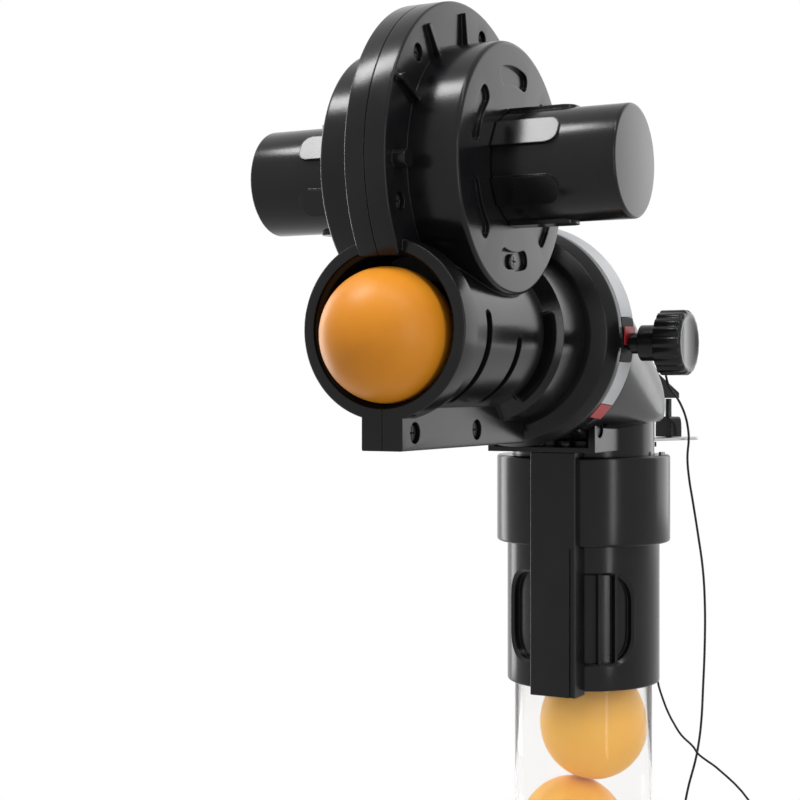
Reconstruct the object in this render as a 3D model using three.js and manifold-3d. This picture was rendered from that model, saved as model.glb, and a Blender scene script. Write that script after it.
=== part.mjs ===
// Shooting head of a table tennis ball machine on its clear feed tube.
// Millimetres, +Z up. The origin is the centre of the tube's lower end. The muzzle looks along -Y,
// the wheel and its two motors turn about an axis along X.
import * as THREE from 'three';
import { ConvexGeometry } from 'three/addons/geometries/ConvexGeometry.js';
import Module from 'manifold-3d';

const wasm = await Module();
wasm.setup();

// General
const ballRadius = 20;
const ballLeanAngle = 28.5;
const ballSunk = 3.3;
const ballSteps = 20;
const fit = 0.3;
const overrun = 2;
const weld = 0.0001;
const fine = 36;
const medium = 24;
const coarse = 12;
const small = 8;
const bentStep = 5;
const cornerShares = [0, 0.08, 0.3, 0.62, 1];

// Feed tube
const tubeRadius = 25.2;
const tubeWall = 1;
const tubeLength = 84.2;
const tubeBore = tubeRadius - tubeWall;

// Cup that holds the tube
const cupRadius = 27.97;
const cupBottom = 76.5;
const cupTop = 141;
const cupChamfer = 0.6;
const passageRadius = tubeBore + 0.1 * tubeWall;
const windowDepth = 2.8;
const windowLow = 86.2;
const windowHigh = 117.6;
const windowCorner = 10;
const windowFromAngle = -45.5;
const windowToAngle = 61.2;
const windowRibAngles = [34, 47];
const windowRibWidth = 1;

// Collar on the cup
const collarRadius = 31.81;
const collarBottom = 127.8;
const collarTop = 159.5;
const collarLipHeight = 9.5;
const collarChamfer = 0.8;
const pinRadius = 1.2;
const pinAngle = 11;
const pinStands = 1.1;

// Turning neck with its shelf, ears and rear tongue
const neckRadius = 26.1;
const neckWall = 3.6;
const neckTop = 178.5;
const bushHeight = 3.4;
const neckBore = neckRadius - neckWall;
const shelfLow = 161.6;
const shelfThick = 1.8;
const shelfHalfWidth = 20.3;
const earThick = 2.4;
const earBack = 15;
const earRound = 4.6;
const tongueAngle = 67;
const tongueWidth = 12;
const tongueReach = 33;
const plateReach = 60.6;
const plateThick = 1;

// Swing arm
const armLeft = -6;
const armRight = 11.1;
const armFront = 35;
const armPlate = 2.5;
const armBottom = 75.6;
const armTop = shelfLow - fit;
const armWall = 2;
const armGroove = 0.8;
const armGrooveWidth = 1.4;
const armScrewRadius = 0.8;
const armScrewHead = 1.9;
const armScrewHeadHeight = 1.2;
const armScrewLength = 8;
const armScrewSpread = 5;
const armReachBack = 26;
const armScrewY = -(armFront + collarRadius + fit) / 2;
const armMiddle = (armLeft + armRight) / 2;

// Tilt pivot and its jack at the back
const tiltY = -34.6;
const tiltZ = 169.8;
const tiltPinRadius = 2.8;
const pinShort = 0.8;
const jackReach = 46.3;
const jackRadius = 1.2;
const footBase = 8;
const footTop = 5;
const footDepth = 6;
const footHeight = 7.8;
const footShoulderShare = 0.45;
const wedgeLow = 180;
const wedgeHigh = 193.3;
const wedgeTip = 182;
const wedgeReach = 48;
const wedgeWidth = 8;

// Barrel and elbow
const barrelZ = 201.37;
const muzzleRadius = 26.71;
const barrelRadius = 24;
const barrelBore = 22;
const muzzleY = -153.3;
const muzzleRingY = -144.3;
const muzzleStep = 1.2;
const domeRadius = 30.2;
const domeWall = 2.3;
const domeZ = 177;
const domeLow = 171.5;
const domeRows = 6;
const elbowMouthY = -57.2;
const elbowRingY = -48;
const elbowRingWall = 2.5;
const elbowFunnel = 23;
const socketDepth = 7.7;
const webHalfWidth = shelfHalfWidth - earThick - 2 * fit;
const webRound = 4.4;

// Rotating ring, dial band and lock
const ringFront = -68;
const ringStands = 0.96;
const ringThick = 2.8;
const ringStepY = -65;
const spigotRadius = 33.5;
const elbowRingRadius = spigotRadius + fit + elbowRingWall;
const ringRadius = elbowRingRadius + ringStands;
const ringNeckInset = 3;
const ringNeckRadius = spigotRadius - ringNeckInset;
const ringStepRadius = (spigotRadius + ringRadius) / 2 - ringStands / 2;
const barrelTail = 25.1;
const barrelTailY = -58.4;
const bandStands = 2.17;
const bandRadius = elbowRingRadius + bandStands;
const bandLow = -37;
const bandHigh = 217;
const patchLow = -13;
const patchHigh = 9;
const bandThin = 0.7;
const bandStep = 5;
const markAngle = 4.5;
const markHeight = 0.4;
const knobY = -53;
const knobZ = 198.9;
const knobHeadRadius = 10.75;
const knobHeadFrom = 49.5;
const knobHeadTo = 58.9;
const knobNeckRadius = 5.95;
const knobNeckFrom = 42.7;
const knobShoulder = 3.5;
const knobShoulderFrom = 39.2;
const knobStud = 1.9;
const knobFlutes = 18;
const knobFluteDepth = 0.5;
const knobRound = 1.6;

// Wheel housing
const wheelY = -111.97;
const wheelZ = 250.91;
const rimRadius = 51.94;
const rimHalf = 6.72;
const drumRadius = 38.59;
const drumHalf = 23.1;
const drumEdge = 1.4;
const drumWall = 2.2;
const drumFace = 2.6;
const rimEdge = 0.7;
const edgeSteps = 3;
const barrelRear = 28.6;
const flareY = -90.3;
const ringWideY = -86.1;
const seam = fit / 2;
const footLow = 165.9;
const footHoleRadius = 3.15;
const footHoleZ = 171.1;
const footHoleY = [-145.5, -104.1];
const slotWidth = 3.6;
const slotY = [-131, -109.4, -89.6];
const slotFrom = [14.5, -3, 16.5];
const slotTo = [-66, -66, -58];
const pocketInner = 25.3;
const pocketOuter = 31.2;
const pocketHalfAngle = 19.5;
const pocketDepth = 1.3;
const pocketCorner = 2.6;
const sixAngles = [90, 30, -30, -90, -150, 150];
const gussetAngles = [27, 57, 87, 117, 147];
const gussetReach = 48.6;
const gussetRise = 2;
const gussetFoot = 1.4;
const gussetThick = 1.3;
const lugReach = 45;
const lugAngle = -1.5;
const lugRadius = 2.7;
const lugRise = 4;
const rimPinReach = 49.2;
const rimPinRadius = 1.2;
const rimPinRise = 1.9;
const rimPinAngle = 27;
const rimScrewReach = 44.6;
const rimScrewAngles = [-17, 45, 105, 165];
const screwShank = 1.3;
const screwHead = 2.4;
const screwHeadHeight = 1.8;
const screwSink = 3.2;
const capScrewAngle = -90;
const capScrewLength = 0.8;
const capScrewHead = 0.8;

// Motors, wheel and tyre
const capRadius = 17;
const capEnd = 62.1;
const capWall = 2;
const capEdge = 1;
const padRadius = 17.7;
const padHalfAngle = 14.6;
const padEnd = 44;
const padCorner = 3.6;
const motorRadius = 13.9;
const motorLength = 32;
const shaftRadius = 1.6;
const shaftHalf = 30;
const bearingRadius = 5;
const bearingWidth = 3;
const tyreRadius = 33.5;
const tyreInner = 24.3;
const tyreHalf = 11;
const tyreHollow = 0.9;
const hubRadius = 6;
const hubHalf = 15;
const hubWeb = 2;
const hubHoles = 6;
const hubHoleRadius = 4.6;

// Leads
const leadA = 0.9;
const leadB = 0.8;
const coilAcross = 11;
const coilTurns = 8;
const coilGap = 0.45;
const coilSteps = 14;
const coilSides = 6;
const coilCentreA = [36, 48.5];
const coilCentreB = [77.4, -9];
const cordStep = 3;
const cordSteps = 80;
const cordSides = 8;
const plugTail = 7.5;
const plugNeck = 3;
const plugWaistShare = 0.35;
const plugLength = 14;
const plugWidth = 6;
const plugHeight = 4.2;
const glandRadius = 1.1;
const glandLength = 1.4;
const glandReach = 37.5;
const glandAngle = 63.6;
const lowerGlandAngle = 62;
const lowerGlandZ = 84;
const routeA = [
  [16.9, 33.4, 193], [18.6, 32.5, 193.4], [20.3, 32, 190.8], [20.9, 32.5, 187.4],
  [21.6, 33.9, 184], [23.6, 36.5, 180.2],
  [24.7, 39.3, 176.5], [25.5, 41.2, 172.7], [26, 42.4, 168.5], [26.2, 42.8, 164.7],
  [25.9, 42.1, 156.9], [26.5, 42.5, 148.6], [27.6, 43, 141.1], [29.5, 44.1, 127.3],
  [31.1, 45, 114.1], [31.8, 45.3, 100.8], [31.8, 45.3, 86.8], [31.2, 45, 68.7],
  [30.5, 44.6, 54.2], [29.5, 44.1, 45.6], [28.6, 43.6, 40.4], [25.9, 42.1, 28.6],
  [24.3, 41.3, 16], [25, 41, 5.8], [27.6, 40.9, 1.5],
];
const routeB = [
  [15.8, 28.4, 83.2], [18.6, 26.2, 79], [21.5, 21.4, 72.8], [23.9, 19.8, 67.6],
  [26.3, 18.8, 63], [28.9, 17.9, 59.2], [32.1, 16.8, 55.5], [37.2, 15.6, 51.8],
  [39.1, 14.4, 50], [43, 13.1, 48], [47.1, 11.9, 46.1], [60.5, 8.5, 36],
  [66.5, 6.8, 26], [69.6, 4.8, 14], [70.5, 1, 4.2], [70.5, -2.6, 1],
];

// Materials
const paint = (color, roughness, metalness = 0) =>
  new THREE.MeshStandardMaterial({ color, roughness, metalness });
const black = () => paint(0x17181a, 0.42);
const dark = () => paint(0x101112, 0.55);
const silver = () => paint(0x9b9da0, 0.4, 0.3);
const steel = () => paint(0x8d9094, 0.3, 1);
const red = () => paint(0xc2201c, 0.5);
const orange = () => paint(0xf08a1d, 0.45);
const rubber = () => paint(0x1b1b1b, 0.85);
const clear = () => new THREE.MeshStandardMaterial({
  color: 0xf2f4f6, roughness: 0.1, transparent: true, opacity: 0.25,
});

// Three.js geometry to solid and back
const rad = THREE.MathUtils.degToRad;

function solidFrom(vertices, faces) {
  const at = (i) => new THREE.Vector3(vertices[3 * i], vertices[3 * i + 1], vertices[3 * i + 2]);
  const kept = [];
  let volume = 0;
  for (let i = 0; i < faces.length; i += 3) {
    const [a, b, c] = [faces[i], faces[i + 1], faces[i + 2]];
    if (a !== b && b !== c && c !== a) {
      kept.push(a, b, c);
      volume += at(a).dot(at(b).cross(at(c)));
    }
  }
  if (volume < 0) kept.reverse();
  return new wasm.Manifold(new wasm.Mesh({
    numProp: 3,
    vertProperties: Float32Array.from(vertices),
    triVerts: Uint32Array.from(kept),
  }));
}

// Corners that fall on one grid point of the weld become one vertex
function solid(geometry) {
  const corners = (geometry.index ? geometry.toNonIndexed() : geometry).getAttribute('position');
  const found = new Map();
  const vertices = [];
  const faces = [];
  for (let i = 0; i < corners.count; i += 1) {
    const corner = [corners.getX(i), corners.getY(i), corners.getZ(i)];
    const key = corner.map((value) => Math.round(value / weld)).join();
    if (!found.has(key)) {
      found.set(key, found.size);
      vertices.push(...corner);
    }
    faces.push(found.get(key));
  }
  return solidFrom(vertices, faces);
}

// A solid moved, or mirrored, by a matrix
function moved(body, matrix) {
  const mesh = body.getMesh();
  const places = new THREE.BufferAttribute(Float32Array.from(mesh.vertProperties), 3);
  places.applyMatrix4(matrix);
  return solidFrom(places.array, mesh.triVerts);
}

const toLeft = new THREE.Matrix4().makeScale(-1, 1, 1);
const join = (first, ...rest) => rest.reduce((sum, next) => sum.add(next), first);
const cut = (first, ...rest) => rest.reduce((left, next) => left.subtract(next), first);

// Turned outlines: each point is [radius, height]
const turn = (points, steps = fine) => new THREE.LatheGeometry(
  points.map(([radius, height]) => new THREE.Vector2(radius, height)), steps,
).rotateX(Math.PI / 2);
const pipe = (inner, outer, low, high, steps = fine) => turn([
  [inner, low], [outer, low], [outer, high], [inner, high], [inner, low],
], steps);
const rod = (radius, low, high, steps = fine) => turn([
  [0, low], [radius, low], [radius, high], [0, high],
], steps);

// Axes: up stays, along the wheel's axis, or along the barrel
const onWheel = (geometry) => geometry.rotateY(Math.PI / 2).translate(0, wheelY, wheelZ);
const onBarrel = (geometry) => geometry.rotateX(-Math.PI / 2).translate(0, 0, barrelZ);
const along = (geometry, x, y, z) => geometry.rotateY(Math.PI / 2).translate(x, y, z);

const block = (x0, x1, y0, y1, z0, z1) => new THREE.BoxGeometry(x1 - x0, y1 - y0, z1 - z0)
  .translate((x0 + x1) / 2, (y0 + y1) / 2, (z0 + z1) / 2);

const outline = (points) => new THREE.Shape(points.map(([x, y]) => new THREE.Vector2(x, y)));
const slab = (shape, depth, steps = coarse) => new THREE.ExtrudeGeometry(shape, {
  depth, bevelEnabled: false, curveSegments: steps,
});

// The wheel's own frame: angles run from -Y towards +Z, depth runs along X
const wheelFrame = new THREE.Matrix4().makeBasis(
  new THREE.Vector3(0, -1, 0), new THREE.Vector3(0, 0, 1), new THREE.Vector3(-1, 0, 0),
);
const byWheel = (geometry, outerX) => geometry.applyMatrix4(wheelFrame)
  .translate(outerX, wheelY, wheelZ);
const wheelPoint = (reach, angle) => [
  wheelY - reach * Math.cos(rad(angle)), wheelZ + reach * Math.sin(rad(angle)),
];

// A closed skin over sections with equal point counts
function loft(sections) {
  const count = sections[0].length;
  const faces = [];
  for (let i = 0; i + 1 < sections.length; i += 1) {
    for (let j = 0; j < count; j += 1) {
      const next = (j + 1) % count;
      const [a, b] = [i * count + j, (i + 1) * count + j];
      const [c, d] = [(i + 1) * count + next, i * count + next];
      faces.push(a, b, c, a, c, d);
    }
  }
  const last = (sections.length - 1) * count;
  for (let j = 1; j + 1 < count; j += 1) {
    faces.push(0, j, j + 1, last, last + j + 1, last + j);
  }
  return solidFrom(sections.flat().flatMap((p) => [p.x, p.y, p.z]), faces);
}

// A patch of a round wall with rounded corners. Its point function takes a depth, an angle and a
// height, reach is the radius that its length is measured on, and the corners are the low and high
const onMast = (radius, angle, z) => new THREE.Vector3(
  radius * Math.cos(angle), radius * Math.sin(angle), z,
);
const roundBarrel = (radius, angle, y) => new THREE.Vector3(
  radius * Math.cos(angle), y, barrelZ + radius * Math.sin(angle),
);
const roundCap = (radius, angle, x) => new THREE.Vector3(
  x, wheelY - radius * Math.cos(angle), wheelZ + radius * Math.sin(angle),
);
const onDrumFace = (x, angle, radius) => roundCap(radius, angle, x);
const flatOnCap = (middle) => (depth, angle, x) => {
  const aside = (angle - rad(middle)) * padRadius;
  return roundCap(Math.hypot(depth, aside), rad(middle) + Math.atan2(aside, depth), x);
};

function bentPatch(point, reach, [inner, outer], [from, to], [low, high], [lowCorner, highCorner]) {
  const length = rad(to - from) * reach;
  const corner = Math.max(lowCorner, highCorner);
  const middle = Math.ceil((to - from) / bentStep);
  const places = cornerShares.map((share) => share * corner);
  for (let i = 1; i < middle; i += 1) places.push(corner + (length - 2 * corner) * (i / middle));
  places.push(...cornerShares.map((share) => length - share * corner).reverse());
  const inset = (place, round) => {
    const left = Math.min(place, length - place);
    return left < round ? round - Math.sqrt(round ** 2 - (round - left) ** 2) : 0;
  };
  return loft(places.map((place) => {
    const angle = rad(from) + place / reach;
    const bottom = low + inset(place, lowCorner);
    const top = high - inset(place, highCorner);
    return [
      point(inner, angle, bottom), point(outer, angle, bottom),
      point(outer, angle, top), point(inner, angle, top),
    ];
  }));
}

const group = new THREE.Group();

function piece(name, body, material) {
  const mesh = body.getMesh();
  const geometry = new THREE.BufferGeometry();
  geometry.setAttribute('position', new THREE.BufferAttribute(mesh.vertProperties, 3));
  geometry.setIndex(Array.from(mesh.triVerts));
  geometry.computeVertexNormals();
  const made = new THREE.Mesh(geometry, material);
  made.name = name;
  group.add(made);
  return made;
}

// Feed tube and the balls in it
piece('feed_tube', solid(pipe(tubeBore, tubeRadius, 0, tubeLength)), clear());
const ballRun = tubeBore - ballRadius - fit;
const ballRise = Math.sqrt((2 * ballRadius + fit) ** 2 - (2 * ballRun) ** 2);
const ballLean = new THREE.Vector3(Math.cos(rad(ballLeanAngle)), Math.sin(rad(ballLeanAngle)), 0);
const ballShape = () => new THREE.SphereGeometry(ballRadius, ballSteps, coarse).rotateX(Math.PI / 2);
const lowPlace = ballLean.clone().multiplyScalar(-ballRun).setZ(ballRadius);
const highPlace = ballLean.clone().multiplyScalar(ballRun).setZ(ballRadius + ballRise);
const muzzlePlace = new THREE.Vector3(0, muzzleY + ballSunk, barrelZ - barrelBore + ballRadius + fit);
for (const [name, place] of [
  ['ball_low', lowPlace], ['ball_high', highPlace], ['ball_muzzle', muzzlePlace],
]) {
  piece(name, solid(ballShape().translate(place.x, place.y, place.z)), orange());
}

// Cup with its window recess, open to a socket below
const socketRadius = tubeRadius + fit;
const socketTop = tubeLength + fit;

const windowFloor = cupRadius - windowDepth;
let recess = bentPatch(
  onMast, cupRadius, [windowFloor, cupRadius + overrun],
  [windowFromAngle - 90, windowToAngle - 90], [windowLow, windowHigh], [windowCorner, windowCorner],
);
for (const angle of windowRibAngles) {
  const rib = block(
    windowFloor - overrun, cupRadius, -windowRibWidth / 2, windowRibWidth / 2,
    windowLow - overrun, windowHigh + overrun,
  );
  recess = cut(recess, solid(rib.rotateZ(rad(angle - 90))));
}
piece('tube_cup', cut(solid(turn([
  [socketRadius, cupBottom], [cupRadius - cupChamfer, cupBottom],
  [cupRadius, cupBottom + cupChamfer], [cupRadius, cupTop],
  [passageRadius, cupTop], [passageRadius, socketTop], [socketRadius, socketTop],
  [socketRadius, cupBottom],
])), recess), black());

// Collar with its stop pin
const lipLow = collarTop - collarLipHeight;
const collarBore = cupRadius + fit;
const lipBore = neckRadius + fit;
const pinReach = (lipBore + collarRadius) / 2;
const pinX = pinReach * Math.cos(rad(pinAngle));
const pinY = pinReach * Math.sin(rad(pinAngle));
piece('swivel_collar', cut(
  solid(turn([
    [collarBore, collarBottom], [collarRadius - collarChamfer, collarBottom],
    [collarRadius, collarBottom + collarChamfer], [collarRadius, collarTop - collarChamfer],
    [collarRadius - collarChamfer, collarTop], [lipBore, collarTop], [lipBore, lipLow],
    [collarBore, lipLow], [collarBore, collarBottom],
  ])),
  solid(rod(pinRadius + fit, lipLow + fit, collarTop + overrun, small).translate(pinX, pinY, 0)),
), black());
piece('collar_pin', solid(
  rod(pinRadius, lipLow + 2 * fit, collarTop + pinStands, small).translate(pinX, pinY, 0),
), steel());

// Bush under the neck's flange
const bushLow = cupTop + fit;
const flangeLow = bushLow + bushHeight + fit;
const flangeTop = lipLow - fit;
piece('neck_bush', solid(pipe(passageRadius, cupRadius, bushLow, bushLow + bushHeight)), rubber());

// Turning neck: flanged pipe, front shelf with two ears, rear tongue
const shelfTop = shelfLow + shelfThick;
const shelfFront = earRound - tiltY;
const earTop = tiltZ + earRound;
const leadIn = passageRadius - neckBore;
const neckPipe = solid(turn([
  [passageRadius, flangeLow], [cupRadius, flangeLow], [cupRadius, flangeTop],
  [neckRadius, flangeTop], [neckRadius, neckTop], [neckBore, neckTop],
  [neckBore, flangeLow + 2 * leadIn], [passageRadius, flangeLow],
]));
const shelf = solid(block(-shelfHalfWidth, shelfHalfWidth, -shelfFront, 0, shelfLow, shelfTop));
const radial = (geometry, angle) => solid(geometry.rotateZ(rad(angle)));
const tongueHalf = tongueWidth / 2;
const tongue = radial(
  block(0, tongueReach, -tongueHalf, tongueHalf, shelfLow, shelfTop), tongueAngle,
);

function earShape() {
  const shape = new THREE.Shape();
  shape.moveTo(-earBack, shelfLow);
  shape.lineTo(-shelfFront, shelfLow);
  shape.lineTo(-shelfFront, tiltZ);
  shape.absarc(tiltY, tiltZ, earRound, Math.PI, Math.PI / 2, true);
  shape.lineTo(-earBack, earTop);
  return shape;
}

// Side outlines drawn in Y and Z, given a thickness along X
const sideFrame = new THREE.Matrix4().makeBasis(
  new THREE.Vector3(0, 1, 0), new THREE.Vector3(0, 0, 1), new THREE.Vector3(1, 0, 0),
);
const side = (shape, x0, x1, steps = coarse) => slab(shape, x1 - x0, steps)
  .applyMatrix4(sideFrame).translate(x0, 0, 0);
const pinBore = () => solid(along(
  rod(tiltPinRadius + fit, -shelfHalfWidth - overrun, shelfHalfWidth + overrun, coarse), 0, tiltY, tiltZ,
));
const earRight = solid(side(earShape(), shelfHalfWidth - earThick, shelfHalfWidth));
const bore = solid(rod(neckBore, flangeLow, neckTop + overrun));

// A steel plate lies on the tongue and carries the foot of the jack
const plateLow = shelfTop + fit;
const plateTop = plateLow + plateThick;
const plateShape = new THREE.Shape();
plateShape.moveTo(neckRadius + fit, -tongueHalf);
plateShape.lineTo(plateReach - tongueHalf, -tongueHalf);
plateShape.absarc(plateReach - tongueHalf, 0, tongueHalf, -Math.PI / 2, Math.PI / 2, false);
plateShape.lineTo(neckRadius + fit, tongueHalf);
const footFrame = (geometry) => radial(geometry, tongueAngle);
const footShape = new THREE.Shape();
footShape.moveTo(-footBase / 2, 0);
footShape.lineTo(footBase / 2, 0);
footShape.lineTo(footBase / 2, footHeight * footShoulderShare);
footShape.quadraticCurveTo(footBase / 2, footHeight, footTop / 2, footHeight);
footShape.lineTo(-footTop / 2, footHeight);
footShape.quadraticCurveTo(-footBase / 2, footHeight, -footBase / 2, footHeight * footShoulderShare);
const jackHole = () => footFrame(rod(
  jackRadius + fit, plateLow - overrun, plateTop + footHeight + overrun, small,
).translate(jackReach, 0, 0));
const neckBody = cut(
  join(neckPipe, shelf, tongue, earRight, moved(earRight, toLeft)),
  bore, pinBore(),
  ...[-1, 1].map((way) => solid(rod(armScrewRadius + fit, shelfLow - overrun, shelfTop + overrun, small)
    .translate(armMiddle + way * armScrewSpread, armScrewY, 0))),
);
piece('swivel_neck', neckBody, black());
piece('tilt_foot', cut(footFrame(
  slab(footShape, footDepth, small).rotateX(Math.PI / 2).rotateZ(Math.PI / 2)
    .translate(jackReach - footDepth / 2, 0, plateTop + fit),
), jackHole()), black());
piece('tilt_plate', cut(
  footFrame(slab(plateShape, plateThick, small).translate(0, 0, plateLow)), jackHole(),
), silver());
piece('tilt_jack', footFrame(
  rod(jackRadius, plateLow, wedgeLow - fit, small).translate(jackReach, 0, 0),
), steel());
const pinEnd = shelfHalfWidth - pinShort;
piece('tilt_pin', solid(along(rod(tiltPinRadius, -pinEnd, pinEnd, coarse), 0, tiltY, tiltZ)), steel());

// Swing arm: flat over the collar, a channel that reaches the cup below it
const armBack = collarRadius + fit;
let arm = solid(block(armLeft, armRight, -armFront, -armReachBack, armBottom, armTop));
arm = cut(
  arm,
  solid(rod(armBack, collarBottom - fit, collarTop + fit)),
  solid(rod(cupRadius + fit, armBottom - overrun, armTop + overrun)),
  solid(block(
    armLeft + armWall, armRight - armWall, -armFront + armPlate, 0,
    armBottom + armWall, collarBottom - armWall,
  )),
  solid(block(
    armRight - armGroove - armGrooveWidth, armRight - armGroove, -armFront - overrun,
    -armFront + armGroove, armBottom - overrun, collarBottom,
  )),
  ...[-1, 1].map((way) => solid(rod(armScrewRadius + fit, armTop - armScrewLength, armTop + overrun, small)
    .translate(armMiddle + way * armScrewSpread, armScrewY, 0))),
);
piece('sweep_arm', arm, black());
for (const [name, way] of [['arm_screw_left', -1], ['arm_screw_right', 1]]) {
  piece(name, join(
    solid(rod(armScrewRadius, armTop - armScrewLength + fit, shelfTop + fit + weld, small)),
    solid(rod(armScrewHead, shelfTop + fit, shelfTop + fit + armScrewHeadHeight, small)),
  ).translate([armMiddle + way * armScrewSpread, armScrewY, 0]), steel());
}

// Elbow: two shells that turn the ball forward, blended from a dome to a round mouth
const circleAt = (radius, y, steps) => Array.from({ length: steps }, (_, i) => {
  const angle = (2 * Math.PI * i) / steps;
  return new THREE.Vector3(radius * Math.cos(angle), y, barrelZ + radius * Math.sin(angle));
});

function domePoints(radius, low) {
  const points = [];
  for (let row = 0; row <= domeRows; row += 1) {
    const floor = Math.asin((low - domeZ) / radius);
    const lift = floor + (Math.PI / 2 - floor) * (row / domeRows);
    for (let i = 0; i < medium; i += 1) {
      const angle = (2 * Math.PI * i) / medium;
      points.push(new THREE.Vector3(
        radius * Math.cos(lift) * Math.cos(angle),
        radius * Math.cos(lift) * Math.sin(angle),
        domeZ + radius * Math.sin(lift),
      ));
    }
  }
  return points;
}

const hull = (points) => solid(new ConvexGeometry(points));
const elbowSkin = hull([
  ...domePoints(domeRadius, domeLow), ...circleAt(elbowRingRadius - fit, elbowRingY, medium),
]);
const elbowRing = solid(onBarrel(rod(elbowRingRadius, elbowMouthY, elbowRingY + fit)));
const webPoints = [-webHalfWidth, webHalfWidth].flatMap((x) => [
  ...Array.from({ length: coarse }, (_, i) => {
    const angle = (2 * Math.PI * i) / coarse;
    return new THREE.Vector3(
      x, tiltY + webRound * Math.cos(angle), tiltZ + webRound * Math.sin(angle),
    );
  }),
  new THREE.Vector3(x, elbowRingY, tiltZ), new THREE.Vector3(x, tiltY, domeZ),
]);
const wedgeShape = outline([
  [domeRadius - domeWall, wedgeLow], [wedgeReach, wedgeLow], [wedgeReach, wedgeTip],
  [domeRadius, wedgeHigh], [domeRadius - domeWall - overrun, wedgeHigh],
]);
const wedge = radial(
  slab(wedgeShape, wedgeWidth).rotateX(Math.PI / 2).translate(0, wedgeWidth / 2, 0), tongueAngle,
);
const domeInner = domeRadius - domeWall;
const socketFloor = elbowMouthY + socketDepth;
const cavity = hull([
  ...domePoints(domeInner, domeZ - domeWall), ...circleAt(elbowFunnel, socketFloor, medium),
]);
const earClear = [-1, 1].map((way) => {
  const inner = way * (webHalfWidth + weld);
  const outer = way * (shelfHalfWidth + 2 * fit);
  return solid(block(
    Math.min(inner, outer), Math.max(inner, outer),
    -shelfFront - overrun, -earBack + overrun, shelfLow, earTop + overrun,
  ));
});
const knobBore = solid(along(rod(knobStud + fit, 0, knobHeadFrom, small), 0, knobY, knobZ));
const elbow = cut(
  join(elbowSkin, elbowRing, hull(webPoints), wedge),
  cavity,
  solid(rod(domeInner, shelfLow, domeZ)),
  solid(onBarrel(rod(spigotRadius + fit, elbowMouthY - overrun, socketFloor))),
  ...earClear, pinBore(), knobBore,
);
const beyond = -3 * muzzleY;
const half = (way) => solid(block(
  Math.min(way * seam, way * beyond), Math.max(way * seam, way * beyond),
  -beyond, beyond, 0, wheelZ + beyond,
));
piece('elbow_right', elbow.intersect(half(1)), black());
piece('elbow_left', elbow.intersect(half(-1)), black());
const glandX = glandReach * Math.cos(rad(glandAngle));
const glandY = glandReach * Math.sin(rad(glandAngle));
const wedgeTopAt = (reach) => wedgeTip
  + (wedgeHigh - wedgeTip) * ((wedgeReach - reach) / (wedgeReach - domeRadius));
const glandLow = wedgeTopAt(glandReach - glandRadius) + fit;
const glandTop = glandLow + glandLength;
piece('lead_a_gland', solid(
  rod(glandRadius, glandLow, glandTop, small).translate(glandX, glandY, 0),
), dark());
piece('lead_b_gland', radial(
  along(rod(glandRadius, cupRadius + fit, cupRadius + fit + glandLength, small), 0, 0, lowerGlandZ),
  lowerGlandAngle,
), dark());

// Dial band, lock patch and marks round the elbow's mouth
const bandInner = elbowRingRadius + fit;
const bandBack = elbowMouthY + socketDepth - fit;

function bandArc(from, to, { lift = 0, front = elbowMouthY, back = bandBack, clear = null } = {}) {
  const steps = Math.max(1, Math.round((to - from) / bandStep));
  const slope = (bandRadius - bandInner - bandThin) / (bandBack - elbowMouthY);
  const skin = (y) => bandInner + bandThin + slope * (y - elbowMouthY);
  const floor = (y) => (clear === null ? bandInner : skin(y) + clear);
  const sections = [];
  for (let i = 0; i <= steps; i += 1) {
    const angle = rad(from + ((to - from) * i) / steps);
    const point = (radius, y) => new THREE.Vector3(
      radius * Math.cos(angle), y, barrelZ + radius * Math.sin(angle),
    );
    sections.push([
      point(floor(front), front), point(floor(back), back),
      point(skin(back) + lift, back), point(skin(front) + lift, front),
    ]);
  }
  return loft(sections);
}

const gapAngle = THREE.MathUtils.radToDeg(fit / bandRadius);
piece('dial_band', bandArc(patchHigh + gapAngle, bandHigh), silver());
piece('dial_band_low', bandArc(bandLow, patchLow - gapAngle), silver());
piece('lock_patch', cut(bandArc(patchLow, patchHigh), knobBore), black());
piece('index_mark_lock', cut(bandArc(-markAngle, markAngle, {
  lift: fit + markHeight, front: elbowMouthY + fit, back: bandBack - fit, clear: fit,
}), knobBore), red());
piece('index_mark_low', bandArc(
  bandLow - gapAngle - 2 * markAngle, bandLow - gapAngle,
), red());

// Lock knob: its stud clamps the spigot of the turning ring
const studTip = Math.sqrt((spigotRadius + 2 * fit) ** 2 - (knobZ - barrelZ) ** 2);
const flutes = Array.from({ length: 2 * knobFlutes }, (_, i) => {
  const radius = knobHeadRadius - (i % 2) * knobFluteDepth;
  const angle = (Math.PI * i) / knobFlutes;
  return [radius * Math.cos(angle), radius * Math.sin(angle)];
});
const knobHead = slab(outline(flutes), knobHeadTo - knobHeadFrom - knobRound);
const knobCrown = turn([
  [0, 0], [knobHeadRadius - knobFluteDepth, 0], [knobHeadRadius - knobFluteDepth - knobRound, knobRound],
  [0, knobRound],
], medium);
piece('lock_knob', join(
  solid(along(knobHead, knobHeadFrom, knobY, knobZ)),
  solid(along(knobCrown, knobHeadTo - knobRound, knobY, knobZ)),
  solid(along(rod(knobNeckRadius, knobNeckFrom, knobHeadFrom, medium), 0, knobY, knobZ)),
  solid(along(rod(knobShoulder, knobShoulderFrom, knobNeckFrom, small), 0, knobY, knobZ)),
  solid(along(rod(knobStud, studTip, knobShoulderFrom, small), 0, knobY, knobZ)),
), black());

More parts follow.
